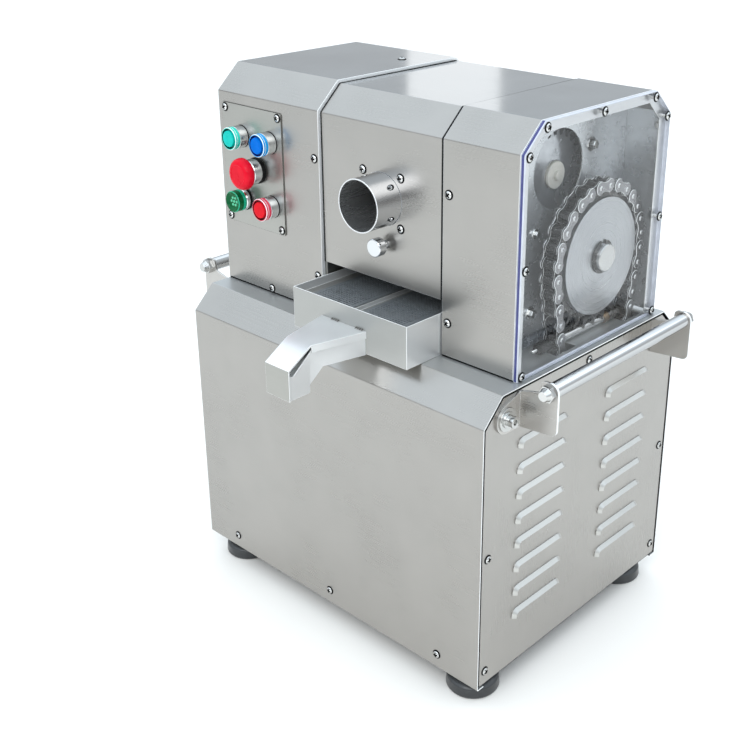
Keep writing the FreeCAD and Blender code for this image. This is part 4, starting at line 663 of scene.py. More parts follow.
def points_mesh(name: str, places: Sequence[Vector], outs: Sequence[Vector]) -> Mesh:
    """Mesh of loose points, each with the direction in which what stands there looks.

    Args:
        name: Name of the mesh.
        places: The points, in metres.
        outs: One direction for each point.

    Returns:
        The mesh, with the directions in its attribute "out".
    """
    mesh = bpy.data.meshes.new(name)
    mesh.from_pydata([tuple(p) for p in places], [], [])
    out = mesh.attributes.new("out", "FLOAT_VECTOR", "POINT")
    out.data.foreach_set("vector", [c for v in outs for c in v])
    return mesh


class Tree(Graph):
    """A geometry-nodes tree with named inputs, which gives one plain mesh and is then gone."""

    def __init__(self, name: str, finish: Material, lengths: dict[str, float],
                 seed: int | None = None) -> None:
        """Start the tree.

        Args:
            name: Name of the tree.
            finish: Material of all that it makes.
            lengths: Value of each named length, in millimetres.
            seed: Seed of its random values, if it has any.
        """
        super().__init__(bpy.data.node_groups.new(name, "GeometryNodeTree"))
        sockets = self.tree.interface
        for way in ("INPUT", "OUTPUT"):
            sockets.new_socket("Geometry", in_out=way, socket_type="NodeSocketGeometry")
        inputs = [(label, "NodeSocketFloat", length * MM) for label, length in lengths.items()]
        if seed is not None:
            inputs.append(("Seed", "NodeSocketInt", seed))
        self.values: dict[str, Any] = {}
        for label, kind, value in inputs + [("Finish", "NodeSocketMaterial", finish)]:
            self.values[sockets.new_socket(label, in_out="INPUT", socket_type=kind).identifier] = value
        self.source = self.node("NodeGroupInput")

    def given(self, label: str) -> bpy.types.NodeSocket:
        """Give the named input's socket."""
        return self.source.outputs[label]

    def part(self, label: str, share: Any) -> Node:
        """Give a share of a named length."""
        return self.math("MULTIPLY", self.given(label), share)

    def beyond(self, value: Any, limit: Any, operation: str = "GREATER_THAN") -> Node:
        """Compare two numbers."""
        return self.node("FunctionNodeCompare", {0: value, 1: limit}, operation=operation)

    def vector(self, x: Any = 0.0, y: Any = 0.0, z: Any = 0.0) -> Node:
        """Add a vector of three values."""
        return self.node("ShaderNodeCombineXYZ", {0: x, 1: y, 2: z})

    def rod(self, vertices: int, radius: Any, length: Any, fill: str = "NGON", rings: int = 1) -> Node:
        """Add a cylinder about the origin, its axis along Z."""
        return self.node("GeometryNodeMeshCylinder", {
            "Vertices": vertices, "Fill Segments": rings, "Radius": radius, "Depth": length}, fill_type=fill)

    def moved(self, shape: Node, x: Any = 0.0, y: Any = 0.0, z: Any = 0.0) -> Node:
        """Move a shape."""
        return self.node("GeometryNodeTransform", {"Geometry": shape, "Translation": self.vector(x, y, z)})

    def joined(self, *shapes: Node) -> Node:
        """Join shapes into one."""
        return self.node("GeometryNodeJoinGeometry", {0: list(shapes)})

    def cut(self, shape: Node, tool: Node, crossing: bool = False) -> Node:
        """Cut one shape out of another, whose own parts may cross each other."""
        return self.node("GeometryNodeMeshBoolean", {
            "Mesh 1": shape, "Mesh 2": tool, "Self Intersection": crossing},
            operation="DIFFERENCE", solver="EXACT")

    def facing(self, **axes: str) -> Node:
        """Turn an axis of what stands on each point into the point's direction."""
        out = self.node("GeometryNodeInputNamedAttribute", {"Name": "out"}, data_type="FLOAT_VECTOR")
        return self.node("FunctionNodeAlignRotationToVector", {"Vector": out}, **axes)

    def placed(self, shape: Node, sockets: dict[str, Node] | None = None) -> Node:
        """Set a shape on each point of the mesh."""
        return self.node("GeometryNodeInstanceOnPoints", {
            "Points": self.given("Geometry"), "Instance": shape} | (sockets or {}))

    def run(self, name: str, mesh: Mesh, result: Node) -> Object:
        """Finish the tree, evaluate it on a mesh and keep only the plain result.

        Args:
            name: Name of the result.
            mesh: Mesh that the tree works on.
            result: Node that gives the shape.

        Returns:
            The plain object.
        """
        real = self.node("GeometryNodeRealizeInstances", {0: result})
        painted = self.node("GeometryNodeSetMaterial", {
            "Geometry": real, "Material": self.given("Finish")})
        self.node("NodeGroupOutput", {0: painted})
        carrier = to_object(name + "_carrier", mesh)
        modifier = carrier.modifiers.new("nodes", "NODES")
        modifier.node_group = self.tree
        for identifier, value in self.values.items():
            modifier[identifier] = value
        carrier.update_tag()
        bpy.context.view_layer.update()
        made = settled(carrier, name)
        finish = next(m for m in made.data.materials if m)
        made.data.materials.clear()
        made.data.materials.append(finish)
        made.data.polygons.foreach_set("material_index", [0] * len(made.data.polygons))
        bpy.data.node_groups.remove(self.tree)
        return made


@dataclass
class SubAssembly:
    """A group of pieces that is dressed together."""

    finishes: Finishes

    def plain(self, finish: str, *nodes: str) -> None:
        """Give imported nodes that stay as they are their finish."""
        for node in nodes:
            slots = frame["nodes"][node].data.materials
            slots.clear()
            slots.append(self.finishes[finish])

    def mesh(self, bm: Shape, name: str, finishes: Sequence[str]) -> Mesh:
        """Turn a finished shape, which is freed, into a smooth mesh with its finishes."""
        mesh = bpy.data.meshes.new(name)
        bm.to_mesh(mesh)
        bm.free()
        for one in finishes:
            mesh.materials.append(self.finishes[one])
        mesh.polygons.foreach_set("use_smooth", [True] * len(mesh.polygons))
        return mesh

    def closed(self, bm: Shape, name: str, finishes: Sequence[str], sharp: float = 38.0) -> Object:
        """Turn a finished shape into an object, smooth except at its sharp edges.

        Args:
            bm: Shape, which is freed.
            name: Name of the object.
            finishes: Names of its finishes, by number.
            sharp: Angle from which an edge stays sharp, in degrees.

        Returns:
            The object.
        """
        mesh = self.mesh(bm, name, finishes)
        mesh.set_sharp_from_angle(angle=math.radians(sharp))
        return to_object(name, mesh)

    def edged(self, node: str, finishes: Sequence[str], edge: float, limit: float = 34.0, edge_slot: int = -1,
              choose: Callable[[Face], int] | None = None,
              shape: Callable[[Shape], None] | None = None) -> None:
        """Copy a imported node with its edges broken, as a deburred part has them, to catch the light.

        Args:
            node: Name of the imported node, which the copy stands for.
            finishes: Names of its finishes, by number.
            edge: Width of the broken edge.
            limit: Least angle between faces that counts as an edge, in degrees.
            edge_slot: Number of the finish on the broken edges; -1 keeps that of the faces beside.
            choose: Gives the number of the finish for a face.
            shape: Moves points of the copy before its edges are broken.
        """
        bm = merged(node)
        if shape:
            shape(bm)
        mesh = self.mesh(bm, node + "_edged", finishes)
        mesh.polygons.foreach_set("material_index", [choose(face) if choose else 0 for face in mesh.polygons])
        piece = to_object(node + "_raw", mesh)
        bevelled(piece, edge, 2, limit, edge_slot)
        piece.modifiers.new("weights", "WEIGHTED_NORMAL").keep_sharp = True
        stands_for(settled(piece, node + "_dressed"), node)


@dataclass
class PanScrews(SubAssembly):
    """Pan-head machine screws with a cross recess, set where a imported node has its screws."""

    nodes: tuple[str, ...] = ("cabinet_screws", "cover_screws", "window_screws")
    head_d: float = 9.6
    head_h: float = 3.0
    dome: float = 0.55
    dome_power: float = 2.6
    tuck: float = 0.07
    cross: float = 6.2
    cross_w: float = 2.1
    cross_depth: float = 2.0
    shank_d: float = 5.0
    shank: float = 6.5
    # the thin washer under each head takes the near-black painted shade; washer_skin, recess_top,
    # recess_reach and seat_skin bound the faces that take it
    washer_d: float = 11.7
    washer_t: float = 0.3
    washer_skin: float = 0.05
    recess_top: float = 0.75
    recess_reach: float = 0.51
    seat_skin: float = 0.1
    washer_over: float = 1.9
    shank_under: float = 0.495
    end_m: float = 1e-5
    seed: int = 7

    def seats(self, node: str) -> tuple[list[Vector], list[Vector]]:
        """Find each screw's seat and the direction its head looks in.

        Args:
            node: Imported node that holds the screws.

        Returns:
            The seats and the directions.
        """
        places, outs = [], []
        for group in solids(node):
            low, high = corners(group)
            size = high - low
            axis = max(range(3), key=lambda i: size[i])
            side = (axis + 1) % 3
            ends = {sign: [v.co[side] for v in group if abs(v.co[axis] - end) < self.end_m]
                    for sign, end in ((-1, low[axis]), (1, high[axis]))}
            sign = max(ends, key=lambda s: max(ends[s]) - min(ends[s]))
            steps = sorted({round(v.co[axis], 6) for v in group})
            seat = (low + high) / 2
            seat[axis] = steps[1] if sign < 0 else steps[-2]
            places.append(seat)
            outs.append(Vector([sign if i == axis else 0.0 for i in range(3)]))
        return places, outs

    def head(self, t: Tree) -> Node:
        """Make a domed head with its cross recess.

        Args:
            t: Tree of the screw.

        Returns:
            The node that gives the head, standing on the origin.
        """
        height = t.given("Head Height")
        radius = t.part("Head Diameter", 0.5)
        blank = t.rod(20, radius, height, "TRIANGLE_FAN", 4)
        place = t.node("ShaderNodeSeparateXYZ", {0: t.node("GeometryNodeInputPosition")})
        flat = t.vector(place.outputs[0], place.outputs[1])
        reach = t.node("ShaderNodeVectorMath", {0: flat}, operation="LENGTH")
        share = t.math("DIVIDE", reach.outputs["Value"], radius)
        drop = t.math("MULTIPLY", t.math("POWER", share, self.dome_power), t.part("Head Height", -self.dome))
        domed = t.node("GeometryNodeSetPosition", {
            "Geometry": blank, "Selection": t.beyond(place.outputs[2], 0.0), "Offset": t.vector(z=drop)})
        inwards = t.node("ShaderNodeVectorMath", {0: flat, "Scale": -self.tuck}, operation="SCALE")
        eased = t.node("GeometryNodeSetPosition", {
            "Geometry": domed, "Selection": t.beyond(place.outputs[2], 0.0, "LESS_THAN"), "Offset": inwards})
        long, wide, deep = t.given("Recess Length"), t.given("Recess Width"), t.part("Recess Depth", 2.0)
        bars = [t.node("GeometryNodeMeshCube", {"Size": t.vector(*size, deep)})
                for size in ((long, wide), (wide, long))]
        return t.cut(t.moved(eased, z=t.part("Head Height", 0.5)), t.moved(t.joined(*bars), z=height), True)

    def build_node(self, node: str) -> None:
        """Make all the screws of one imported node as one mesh."""
        places, outs = self.seats(node)
        t = Tree(node + "_nodes", self.finishes["nickel_screw"], {
            "Head Diameter": self.head_d, "Head Height": self.head_h, "Recess Length": self.cross,
            "Recess Width": self.cross_w, "Recess Depth": self.cross_depth, "Shank Diameter": self.shank_d,
            "Shank Length": self.shank, "Washer Diameter": self.washer_d,
            "Washer Thickness": self.washer_t}, self.seed)
        shank = t.rod(10, t.part("Shank Diameter", 0.5), t.given("Shank Length"))
        washer = t.rod(20, t.part("Washer Diameter", 0.5), t.given("Washer Thickness"))
        rise = t.math("DIVIDE", t.given("Washer Thickness"), self.washer_over)
        screw = t.joined(t.moved(washer, z=rise), self.head(t),
                         t.moved(shank, z=t.part("Shank Length", -self.shank_under)))
        turn = t.node("FunctionNodeRandomValue", {2: 0.0, 3: math.pi, "Seed": t.given("Seed")},
                      data_type="FLOAT")
        about = t.node("FunctionNodeEulerToRotation", {0: t.vector(z=turn.outputs[1])})
        spun = t.node("FunctionNodeRotateRotation", {0: t.facing(axis="Z"), 1: about}, rotation_space="LOCAL")
        made = t.run(node + "_pan_heads", points_mesh(node + "_seats", places, outs),
                     t.placed(screw, {"Rotation": spun}))
        made.data.polygons.foreach_set("use_smooth", [True] * len(made.data.polygons))
        made.data.set_sharp_from_angle(angle=math.radians(40))
        # painted shade: the cross recess, the thin washer and the head's lowest band take a near-black finish
        made.data.materials.append(self.finishes["recess_steel"])
        low, high = (self.washer_t + self.washer_skin) * MM, (self.head_h - self.recess_top) * MM
        for face in made.data.polygons:
            seat, look = min(zip(places, outs), key=lambda one: (one[0] - face.center).length_squared)
            height = (face.center - seat).dot(look)
            reach = (face.center - seat - look * height).length
            recessed = reach < self.cross * self.recess_reach * MM and low < height < high
            face.material_index = int(recessed or -self.seat_skin * MM < height < low)
        stands_for(made, node)

    def build(self) -> None:
        """Make the screws of every node."""
        for node in self.nodes:
            self.build_node(node)


@dataclass
class RollerChain(SubAssembly):
    """Roller chain of riveted links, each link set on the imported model's link."""

    pitch: float = 19.05
    plate_h: float = 16.6
    plate_t: float = 2.4
    inner_w: float = 12.57
    roller_d: float = 11.91
    pin_d: float = 5.94
    rivet: float = 1.1
    rivet_step: float = 0.55
    rivet_share: float = 0.72
    waist: float = 5.6
    bite_r: float = 15.0
    clearance: float = 0.12
    roller_gap: float = 0.1
    edge: float = 0.45

    def links(self, node: str) -> tuple[list[Vector], list[Vector]]:
        """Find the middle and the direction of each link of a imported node.

        Args:
            node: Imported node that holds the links.

        Returns:
            The middles and the directions.
        """
        places, outs = [], []
        for group in solids(node):
            middle = sum((v.co for v in group), Vector()) / len(group)
            yy = sum((v.co.y - middle.y) ** 2 for v in group)
            zz = sum((v.co.z - middle.z) ** 2 for v in group)
            yz = sum((v.co.y - middle.y) * (v.co.z - middle.z) for v in group)
            angle = 0.5 * math.atan2(2 * yz, yy - zz)
            places.append(middle)
            outs.append(Vector((0.0, math.cos(angle), math.sin(angle))))
        return places, outs

    def plate(self, t: Tree, across: float) -> Node:
        """Make a waisted side plate; the link lies along Y, and Z is across the chain.

        Args:
            t: Tree of the link.
            across: Middle of the plate across the chain, in millimetres.

        Returns:
            The node that gives the plate.
        """
        ends = [t.moved(t.rod(20, t.part("Plate Height", 0.5), t.given("Plate Thickness")),
                        y=t.part("Pitch", end), z=across * MM) for end in (-0.5, 0.5)]
        hull = t.node("GeometryNodeConvexHull", {0: t.joined(*ends)})
        reach = t.math("ADD", t.given("Waist"), self.bite_r * MM)
        bites = [t.moved(t.rod(40, self.bite_r * MM, t.part("Plate Thickness", 3.0)),
                         x=t.math("MULTIPLY", reach, side), z=across * MM) for side in (-1.0, 1.0)]
        return t.cut(hull, t.joined(*bites))

    def pair(self, t: Tree, vertices: int, diameter: float, half: float) -> list[Node]:
        """Make two round pieces, one at each joint of the link."""
        return [t.moved(t.rod(vertices, diameter / 2 * MM, 2 * half * MM), y=t.part("Pitch", end))
                for end in (-0.5, 0.5)]

    def build_node(self, node: str, outer: bool, finish: str) -> None:
        """Make all the outer or all the inner links as one mesh."""
        places, outs = self.links(node)
        t = Tree(node + "_nodes", self.finishes[finish], {
            "Pitch": self.pitch, "Plate Height": self.plate_h, "Plate Thickness": self.plate_t,
            "Waist": self.waist})
        half = self.inner_w / 2 + (self.plate_t + self.clearance if outer else 0.0)
        made = [self.plate(t, sign * (half + self.plate_t / 2)) for sign in (-1, 1)]
        if outer:
            made += self.pair(t, 12, self.pin_d, half + self.plate_t + self.rivet * self.rivet_step)
            made += self.pair(t, 12, self.pin_d * self.rivet_share, half + self.plate_t + self.rivet)
        else:
            made += self.pair(t, 16, self.roller_d, half - self.roller_gap)
        upright = t.node("GeometryNodeTransform", {
            "Geometry": t.joined(*made), "Rotation": (0.0, math.pi / 2, 0.0)})
        piece = t.run(node + "_riveted", points_mesh(node + "_middles", places, outs),
                      t.placed(upright, {"Rotation": t.facing(axis="Y", pivot_axis="X")}))
        piece.data.polygons.foreach_set("use_smooth", [True] * len(piece.data.polygons))
        # painted highlight on the links' broken edges
        piece.data.materials.append(self.finishes["bright_edge"])
        bevelled(piece, self.edge if outer else self.edge * 0.5, 1, 50.0, 1)
        piece = settled(piece, node + "_broken")
        piece.data.set_sharp_from_angle(angle=math.radians(40))
        stands_for(piece, node)

    def build(self) -> None:
        """Make the outer and the inner links."""
        self.build_node("chain_outer_links", True, "chain_plate_steel")
        self.build_node("chain_inner_links", False, "chain_roller_steel")


@dataclass
class StrainerScreens(SubAssembly):
    """Two perforated screens in the juice tray, each with a plain rim."""

    pitch: float = 4.6
    hole: float = 2.7
    rim: float = 4.0
    join: float = 0.02

    def walled(self, bm: Shape) -> None:
        """Close the border of the perforated fields, between their upper and their lower face."""
        border = [edge for edge in bm.edges if edge.is_boundary]
        middle = sum(edge.verts[0].co.z for edge in border) / len(border)

        def spot(vert: bmesh.types.BMVert) -> tuple[int, int]:
            return round(vert.co.x * 1e5), round(vert.co.y * 1e5)

        lower = {spot(v): v for edge in border for v in edge.verts if v.co.z < middle}
        for edge in border:
            loop = edge.link_loops[0]
            start, end = loop.vert, loop.link_loop_next.vert
            if start.co.z > middle:
                bm.faces.new((end, start, lower[spot(start)], lower[spot(end)]))

    def sheet(self, places: Sequence[Vector], thickness: float) -> Object:
        """Make the perforated fields from one square tile with a hole.

        Args:
            places: Middle of each hole, in metres.
            thickness: Thickness of the sheet.

        Returns:
            The fields, open along their borders.
        """
        t = Tree("strainer_nodes", self.finishes["punched_sheet"], {
            "Pitch": self.pitch, "Hole": self.hole, "Thickness": thickness})
        pitch = t.given("Pitch")
        slab = t.node("GeometryNodeMeshCube", {"Size": t.vector(pitch, pitch, t.given("Thickness"))})
        tile = t.cut(slab, t.rod(8, t.part("Hole", 0.5), t.part("Thickness", 3.0)))
        spot = t.node("ShaderNodeSeparateXYZ", {0: t.node("GeometryNodeInputPosition")})
        far = t.math("MAXIMUM", *(t.math("ABSOLUTE", spot.outputs[i]) for i in (0, 1)))
        opened = t.node("GeometryNodeDeleteGeometry", {
            "Geometry": tile, "Selection": t.beyond(far, t.part("Pitch", 0.499))}, domain="FACE")
        real = t.node("GeometryNodeRealizeInstances", {0: t.placed(opened)})
        return t.run("screen_field", points_mesh("screen_holes", places, [Vector((0, 0, 1))] * len(places)),
                     t.node("GeometryNodeMergeByDistance", {"Geometry": real, "Distance": self.join * MM}))

    def build(self) -> None:
        """Make both screens and their rims as one mesh."""
        boxes = [corners(group) for group in solids("strainer_screens")]
        pitch = self.pitch * MM
        places = []
        rims = bmesh.new()
        for low, high in boxes:
            counts = [int((high[i] - low[i] - 2 * self.rim * MM) // pitch) for i in (0, 1)]
            middle = (low + high) / 2
            half = [count * pitch / 2 for count in counts]
            places += [Vector((middle.x + (i + 0.5) * pitch - half[0], middle.y + (j + 0.5) * pitch - half[1],
                               middle.z)) for i in range(counts[0]) for j in range(counts[1])]
            left, right = middle.x - half[0], middle.x + half[0]
            front, back = middle.y - half[1], middle.y + half[1]
            for a, b in (((low.x, low.y), (high.x, front)), ((low.x, back), (high.x, high.y)),
                         ((low.x, front), (left, back)), ((right, front), (high.x, back))):
                for v in bmesh.ops.create_cube(rims, size=1.0)["verts"]:
                    v.co = [near + (part + 0.5) * (far - near)
                            for near, part, far in zip((*a, low.z), v.co, (*b, high.z))]
        sheets = self.sheet(places, (boxes[0][1] - boxes[0][0]).z / MM)
        field = bmesh.new()
        field.from_mesh(sheets.data)
        self.walled(field)
        field.to_mesh(sheets.data)
        field.free()
        rims.from_mesh(sheets.data)
        mesh = bpy.data.meshes.new("strainer_screens_perforated")
        rims.to_mesh(mesh)
        rims.free()
        mesh.materials.append(self.finishes["punched_sheet"])
        bpy.data.objects.remove(sheets)
        stands_for(to_object("strainer_screens_perforated", mesh), "strainer_screens")


@dataclass
class Cabinet(SubAssembly):
    """Louvred cabinet on rubber feet, with its frame, base plate and gland."""

    seam: float = 2.7

    def shrunk(self, bm: Shape) -> None:
        """Draw a side panel in from the wrap's rim, so that the seam between them shows."""
        for axis in (1, 2):
            low = min(v.co[axis] for v in bm.verts)
            high = max(v.co[axis] for v in bm.verts)
            middle = (low + high) / 2
            share = 1 - 2 * self.seam * MM / (high - low)
            for v in bm.verts:
                v.co[axis] = middle + (v.co[axis] - middle) * share

    def build(self) -> None:
        """Break the edges of the sheets and dress the rest."""
        # painted light: the wrap's faces looking along X take the edge highlight, and its level faces a paler
        # copy
        self.edged("cabinet_wrap", ("stainless_wrap", "bright_edge", "stainless_deck"), 0.3, 60.0, choose=(
            lambda face: 1 if abs(face.normal.x) > FACING else 2 if face.normal.z > LEVEL else 0))
        # painted highlights: the panels' broken edges take the pale edge finish, and the louvres' sloped
        # faces a paler copy
        for node in ("right_side_panel", "left_side_panel"):
            self.edged(node, ("stainless_side", "bright_edge", "stainless_hood"), 0.4, 30.0, 1,
                       lambda face: 2 if 0.25 < abs(face.normal.x) < FACING else 0, self.shrunk)
        self.edged("rubber_feet", ("foot_rubber",), 0.8, 30.0)
        self.edged("cable_gland", ("black_nylon",), 0.6)
        self.plain("frame_paint", "base_plate", "frame_tubes")
        self.plain("nickel_screw", "foot_bolts")


@dataclass
class CarryingHandles(SubAssembly):
    """Two polished tubes on folded arms."""

    outboard: float = 260.0
    rim_area_mm2: float = 300.0

    def outer_rim(self, face: Face) -> int:
        """Choose the painted edge highlight for the narrow faces that end an arm on its outside."""
        narrow = face.area < self.rim_area_mm2 * MM * MM and abs(face.normal.y) < 0.5
        outside = face.normal.x * face.center.x > 0 and abs(face.center.x) > self.outboard * MM
        return int(narrow and outside)

    def build(self) -> None:
        """Dress the arms, the tubes and their fasteners."""
        # painted highlight on the arms' broken edges and outer end faces
        self.edged("handle_brackets", ("stainless_bracket", "bright_edge"), 0.45, 34.0, 1, self.outer_rim)
        # the tubes' finish darkens towards their outline: painted shade
        self.edged("handle_tubes", ("polished_tube",), 0.5, 50.0)
        self.edged("handle_fasteners", ("nickel_screw",), 0.7, 40.0)


@dataclass
class HeadCovers(SubAssembly):
    """The three sheet housings of the head, the clear side window and the polished wall behind it."""

    lift: float = 2.4
    # the black strips at the seams and under the lifted housings are painted shade
    seal_in: float = 0.3
    seal_out: float = 0.35
    seals: tuple[Pair, ...] = ((0.95, 2.6), (-3.6, 0.4))
    over_deck: float = 0.1
    strip_w: float = 1.6
    strip_short: float = 1.4
    strip_in: float = 1.1
    foot_h: float = 0.5
    end_area_m2: float = 5e-3
    wall: float = 3.0

    def lifted(self, bm: Shape) -> None:
        """Raise a housing's lower edge a little off the deck, so that the seam there shows."""
        low = min(v.co.z for v in bm.verts)
        for v in bm.verts:
            if v.co.z < low + self.foot_h * MM:
                v.co.z += self.lift * MM

    def outline(self) -> list[tuple[Vector, Vector]]:
        """Give the corners of the roller housing's outline in Y and Z, each with its way outwards."""
        bm = merged("roller_housing")
        spots = [(v.co.y, v.co.z) for v in bm.verts]
        bm.free()
        ring = [Vector(spots[i]) for i in convex_hull_2d(spots)]
        middle = sum(ring, Vector((0.0, 0.0))) / len(ring)
        found = []
        for i, here in enumerate(ring):
            out = Vector((0.0, 0.0))
            for a, b in ((ring[i - 1], here), (here, ring[(i + 1) % len(ring)])):
                side = Vector(((b - a).y, (a - b).x)).normalized()
                out += side if side.dot(here - middle) > 0 else -side
            found.append((here, out / max(out.length_squared / 2, 1e-9)))
        return found

    def seal(self) -> None:
        """Lay black strips as painted shade: one over each seam of the roller housing, and one in the gap
        under each of the other two.
        """
        outline = self.outline()
        count = len(outline)
        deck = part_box("cabinet_wrap")[1].z + self.over_deck * MM
        ends = (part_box("control_housing")[1].x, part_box("chain_housing")[0].x)
        bm = bmesh.new()
        for end, (start, stop) in zip(ends, self.seals):
            rows = []
            for grow in (-self.seal_in, self.seal_out):
                for x in (end + start * MM, end + stop * MM):
                    spots = [here + out * grow * MM for here, out in outline]
                    rows.append([bm.verts.new((x, spot.x, max(spot.y, deck))) for spot in spots])
            for a, b in ((0, 1), (1, 3), (3, 2), (2, 0)):
                for i in range(count):
                    j = (i + 1) % count
                    bm.faces.new((rows[a][i], rows[a][j], rows[b][j], rows[b][i]))
        for node in ("control_housing", "chain_housing"):
            low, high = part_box(node)
            size = Vector((high.x - low.x - self.strip_short * MM, self.strip_w * MM, self.lift * MM))
            middle = Vector(((low.x + high.x) / 2, low.y + self.strip_in * MM, deck + size.z / 2))
            place = Matrix.Translation(middle) @ Matrix.Diagonal((*size, 1.0))
            bmesh.ops.create_cube(bm, size=1.0, matrix=place)
        bmesh.ops.recalc_face_normals(bm, faces=bm.faces)
        piece = self.closed(bm, "seam_seals", ("black_nylon",))
        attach(piece, BODY_OF["roller_housing"])

    def build(self) -> None:
        """Dress the housings: broken edges and end faces get a painted highlight, paler finishes paint light
        on the side round the window and on the bay's rear wall, and opaque tints on the window's edges paint
        the light they catch.
        """
        sheets = ("stainless_wrap", "bright_edge", "stainless_roof")
        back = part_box("chain_housing")[1].y - self.wall * MM

        # painted highlight: small end faces take the pale edge finish
        def ends_and_roof(face: Face) -> int:
            if face.normal.z > LEVEL:
                return 2
            return int(abs(face.normal.x) > FACING and face.area < self.end_area_m2)

        # painted light: the side round the window and the inner face of the rear wall take paler finishes
        def chain_side(face: Face) -> int:
            if face.normal.x > FACING:
                return 3
            return 4 if face.normal.y < -FACING and face.center.y > back else ends_and_roof(face)

        # painted light: the pane's edges are opaque, dark blue where they look forward and pale on the rest
        # and on the broken edges
        def pane(face: Face) -> int:
            return 0 if abs(face.normal.x) > FACING else 1 if face.normal.y < -0.3 else 2

        # painted shade: black strips at the seams and in the gaps
        self.seal()
        self.edged("control_housing", sheets, 0.4, 60.0, 1, ends_and_roof, self.lifted)
        self.edged("roller_housing", sheets, 0.4, 60.0, 1, ends_and_roof)
        self.edged("chain_housing", sheets + ("stainless_flange", "polished_wall"), 0.4, 60.0, 1, chain_side,
                   self.lifted)
        self.edged("window_pane", ("acrylic_face", "acrylic_edge", "acrylic_rim"), 1.3, 34.0, 2, pane)
        self.edged("partition_wall", ("polished_wall",), 0.3)
        # painted highlight on the chute's broken edges
        self.edged("bagasse_chute", ("stainless_tray", "bright_edge"), 0.3, 34.0, 1)


@dataclass
class RollerPress(SubAssembly):
    """Three fluted rollers between bearing plates, with their gears."""

    def build(self) -> None:
        """Dress the press, whose front shows over the juice tray."""
        self.edged("bearing_plates", ("stainless_plate",), 0.8)
        self.plain("bush_bronze", "bearing_bushes")
        self.plain("turned_shaft", "tie_rods")
        self.plain("roller_steel", "turner_bar")
        for node in ("main_roller", "top_roller", "feed_roller"):
            self.edged(node, ("roller_steel",), 0.4, 24.0)
        for node in ("main_gear", "top_gear", "feed_gear"):
            self.edged(node, ("gear_steel",), 0.5, 40.0)
        self.edged("main_shaft", ("turned_shaft",), 0.4, 30.0)
        self.edged("top_shaft", ("turned_top",), 0.6, 40.0)
        self.plain("turned_top", "feed_shaft")
        self.edged("top_washer", ("cream_nylon",), 0.8)


@dataclass
class ChainDrive(SubAssembly):
    """Main sprocket with its turned disc, drive sprocket, ring, gearmotor and the guide on the deck."""

    disc_d: float = 143.0
    guide_lift: float = 7.6
    bar_d: float = 11.0
    stud_d: float = 5.5
    block_d: float = 15.0
    chamfer: float = 0.8
    bar: Pair = (36.0, 124.0)
    collar: Pair = (122.0, 131.0)
    rear_block: Pair = (131.0, 152.0)
    front_block: Pair = (-6.0, 10.5)
    front_stud: Pair = (-18.0, -6.0)

    def guide(self) -> None:
        """Make the round guide bar between the two runs, with its bronze collar, dark blocks and stud."""
        low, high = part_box("chain_inner_links")
        centre = ((low.x + high.x) / 2 / MM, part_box("cabinet_wrap")[1].z / MM + self.guide_lift)
        for name, (start, end), diameter, finish in (
                ("guide_bar", self.bar, self.bar_d, "turned_shaft"),
                ("guide_collar", self.collar, self.block_d, "bush_bronze"),
                ("guide_rear_block", self.rear_block, self.block_d, "chain_roller_steel"),
                ("guide_front_block", self.front_block, self.block_d, "black_nylon"),
                ("guide_stud", self.front_stud, self.stud_d, "nickel_screw")):
            bm = bmesh.new()
            r, c = diameter / 2, self.chamfer
            turned(bm, centre, [(0.0, start), (r - c, start), (r, start + c), (r, end - c),
                                (r - c, end), (0.0, end)], 24)
            piece = self.closed(bm, name, (finish,))
            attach(piece, "machine")

    def build(self) -> None:
        """Dress the wheels and the gearmotor and add the guide."""
        axis = sum(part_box("main_sprocket"), Vector()) / 2

        # painted shade: the teeth outside the turned disc take the dark roller steel
        def teeth(face: Face) -> int:
            points = [face.id_data.vertices[i].co for i in face.vertices]
            reach = max(math.hypot(point.y - axis.y, point.z - axis.z) for point in points)
            return int(reach > (self.disc_d / 2 + 0.3) * MM)

        self.edged("main_sprocket", ("turned_wheel", "chain_roller_steel"), 0.5, 40.0, choose=teeth)
        self.edged("retaining_ring", ("chain_roller_steel",), 0.3)
        self.edged("drive_sprocket", ("gear_steel",), 0.5, 40.0)
        self.plain("turned_shaft", "output_shaft")
        self.plain("motor_enamel", "gearbox", "motor")
        self.plain("frame_paint", "motor_shelf")
        self.guide()


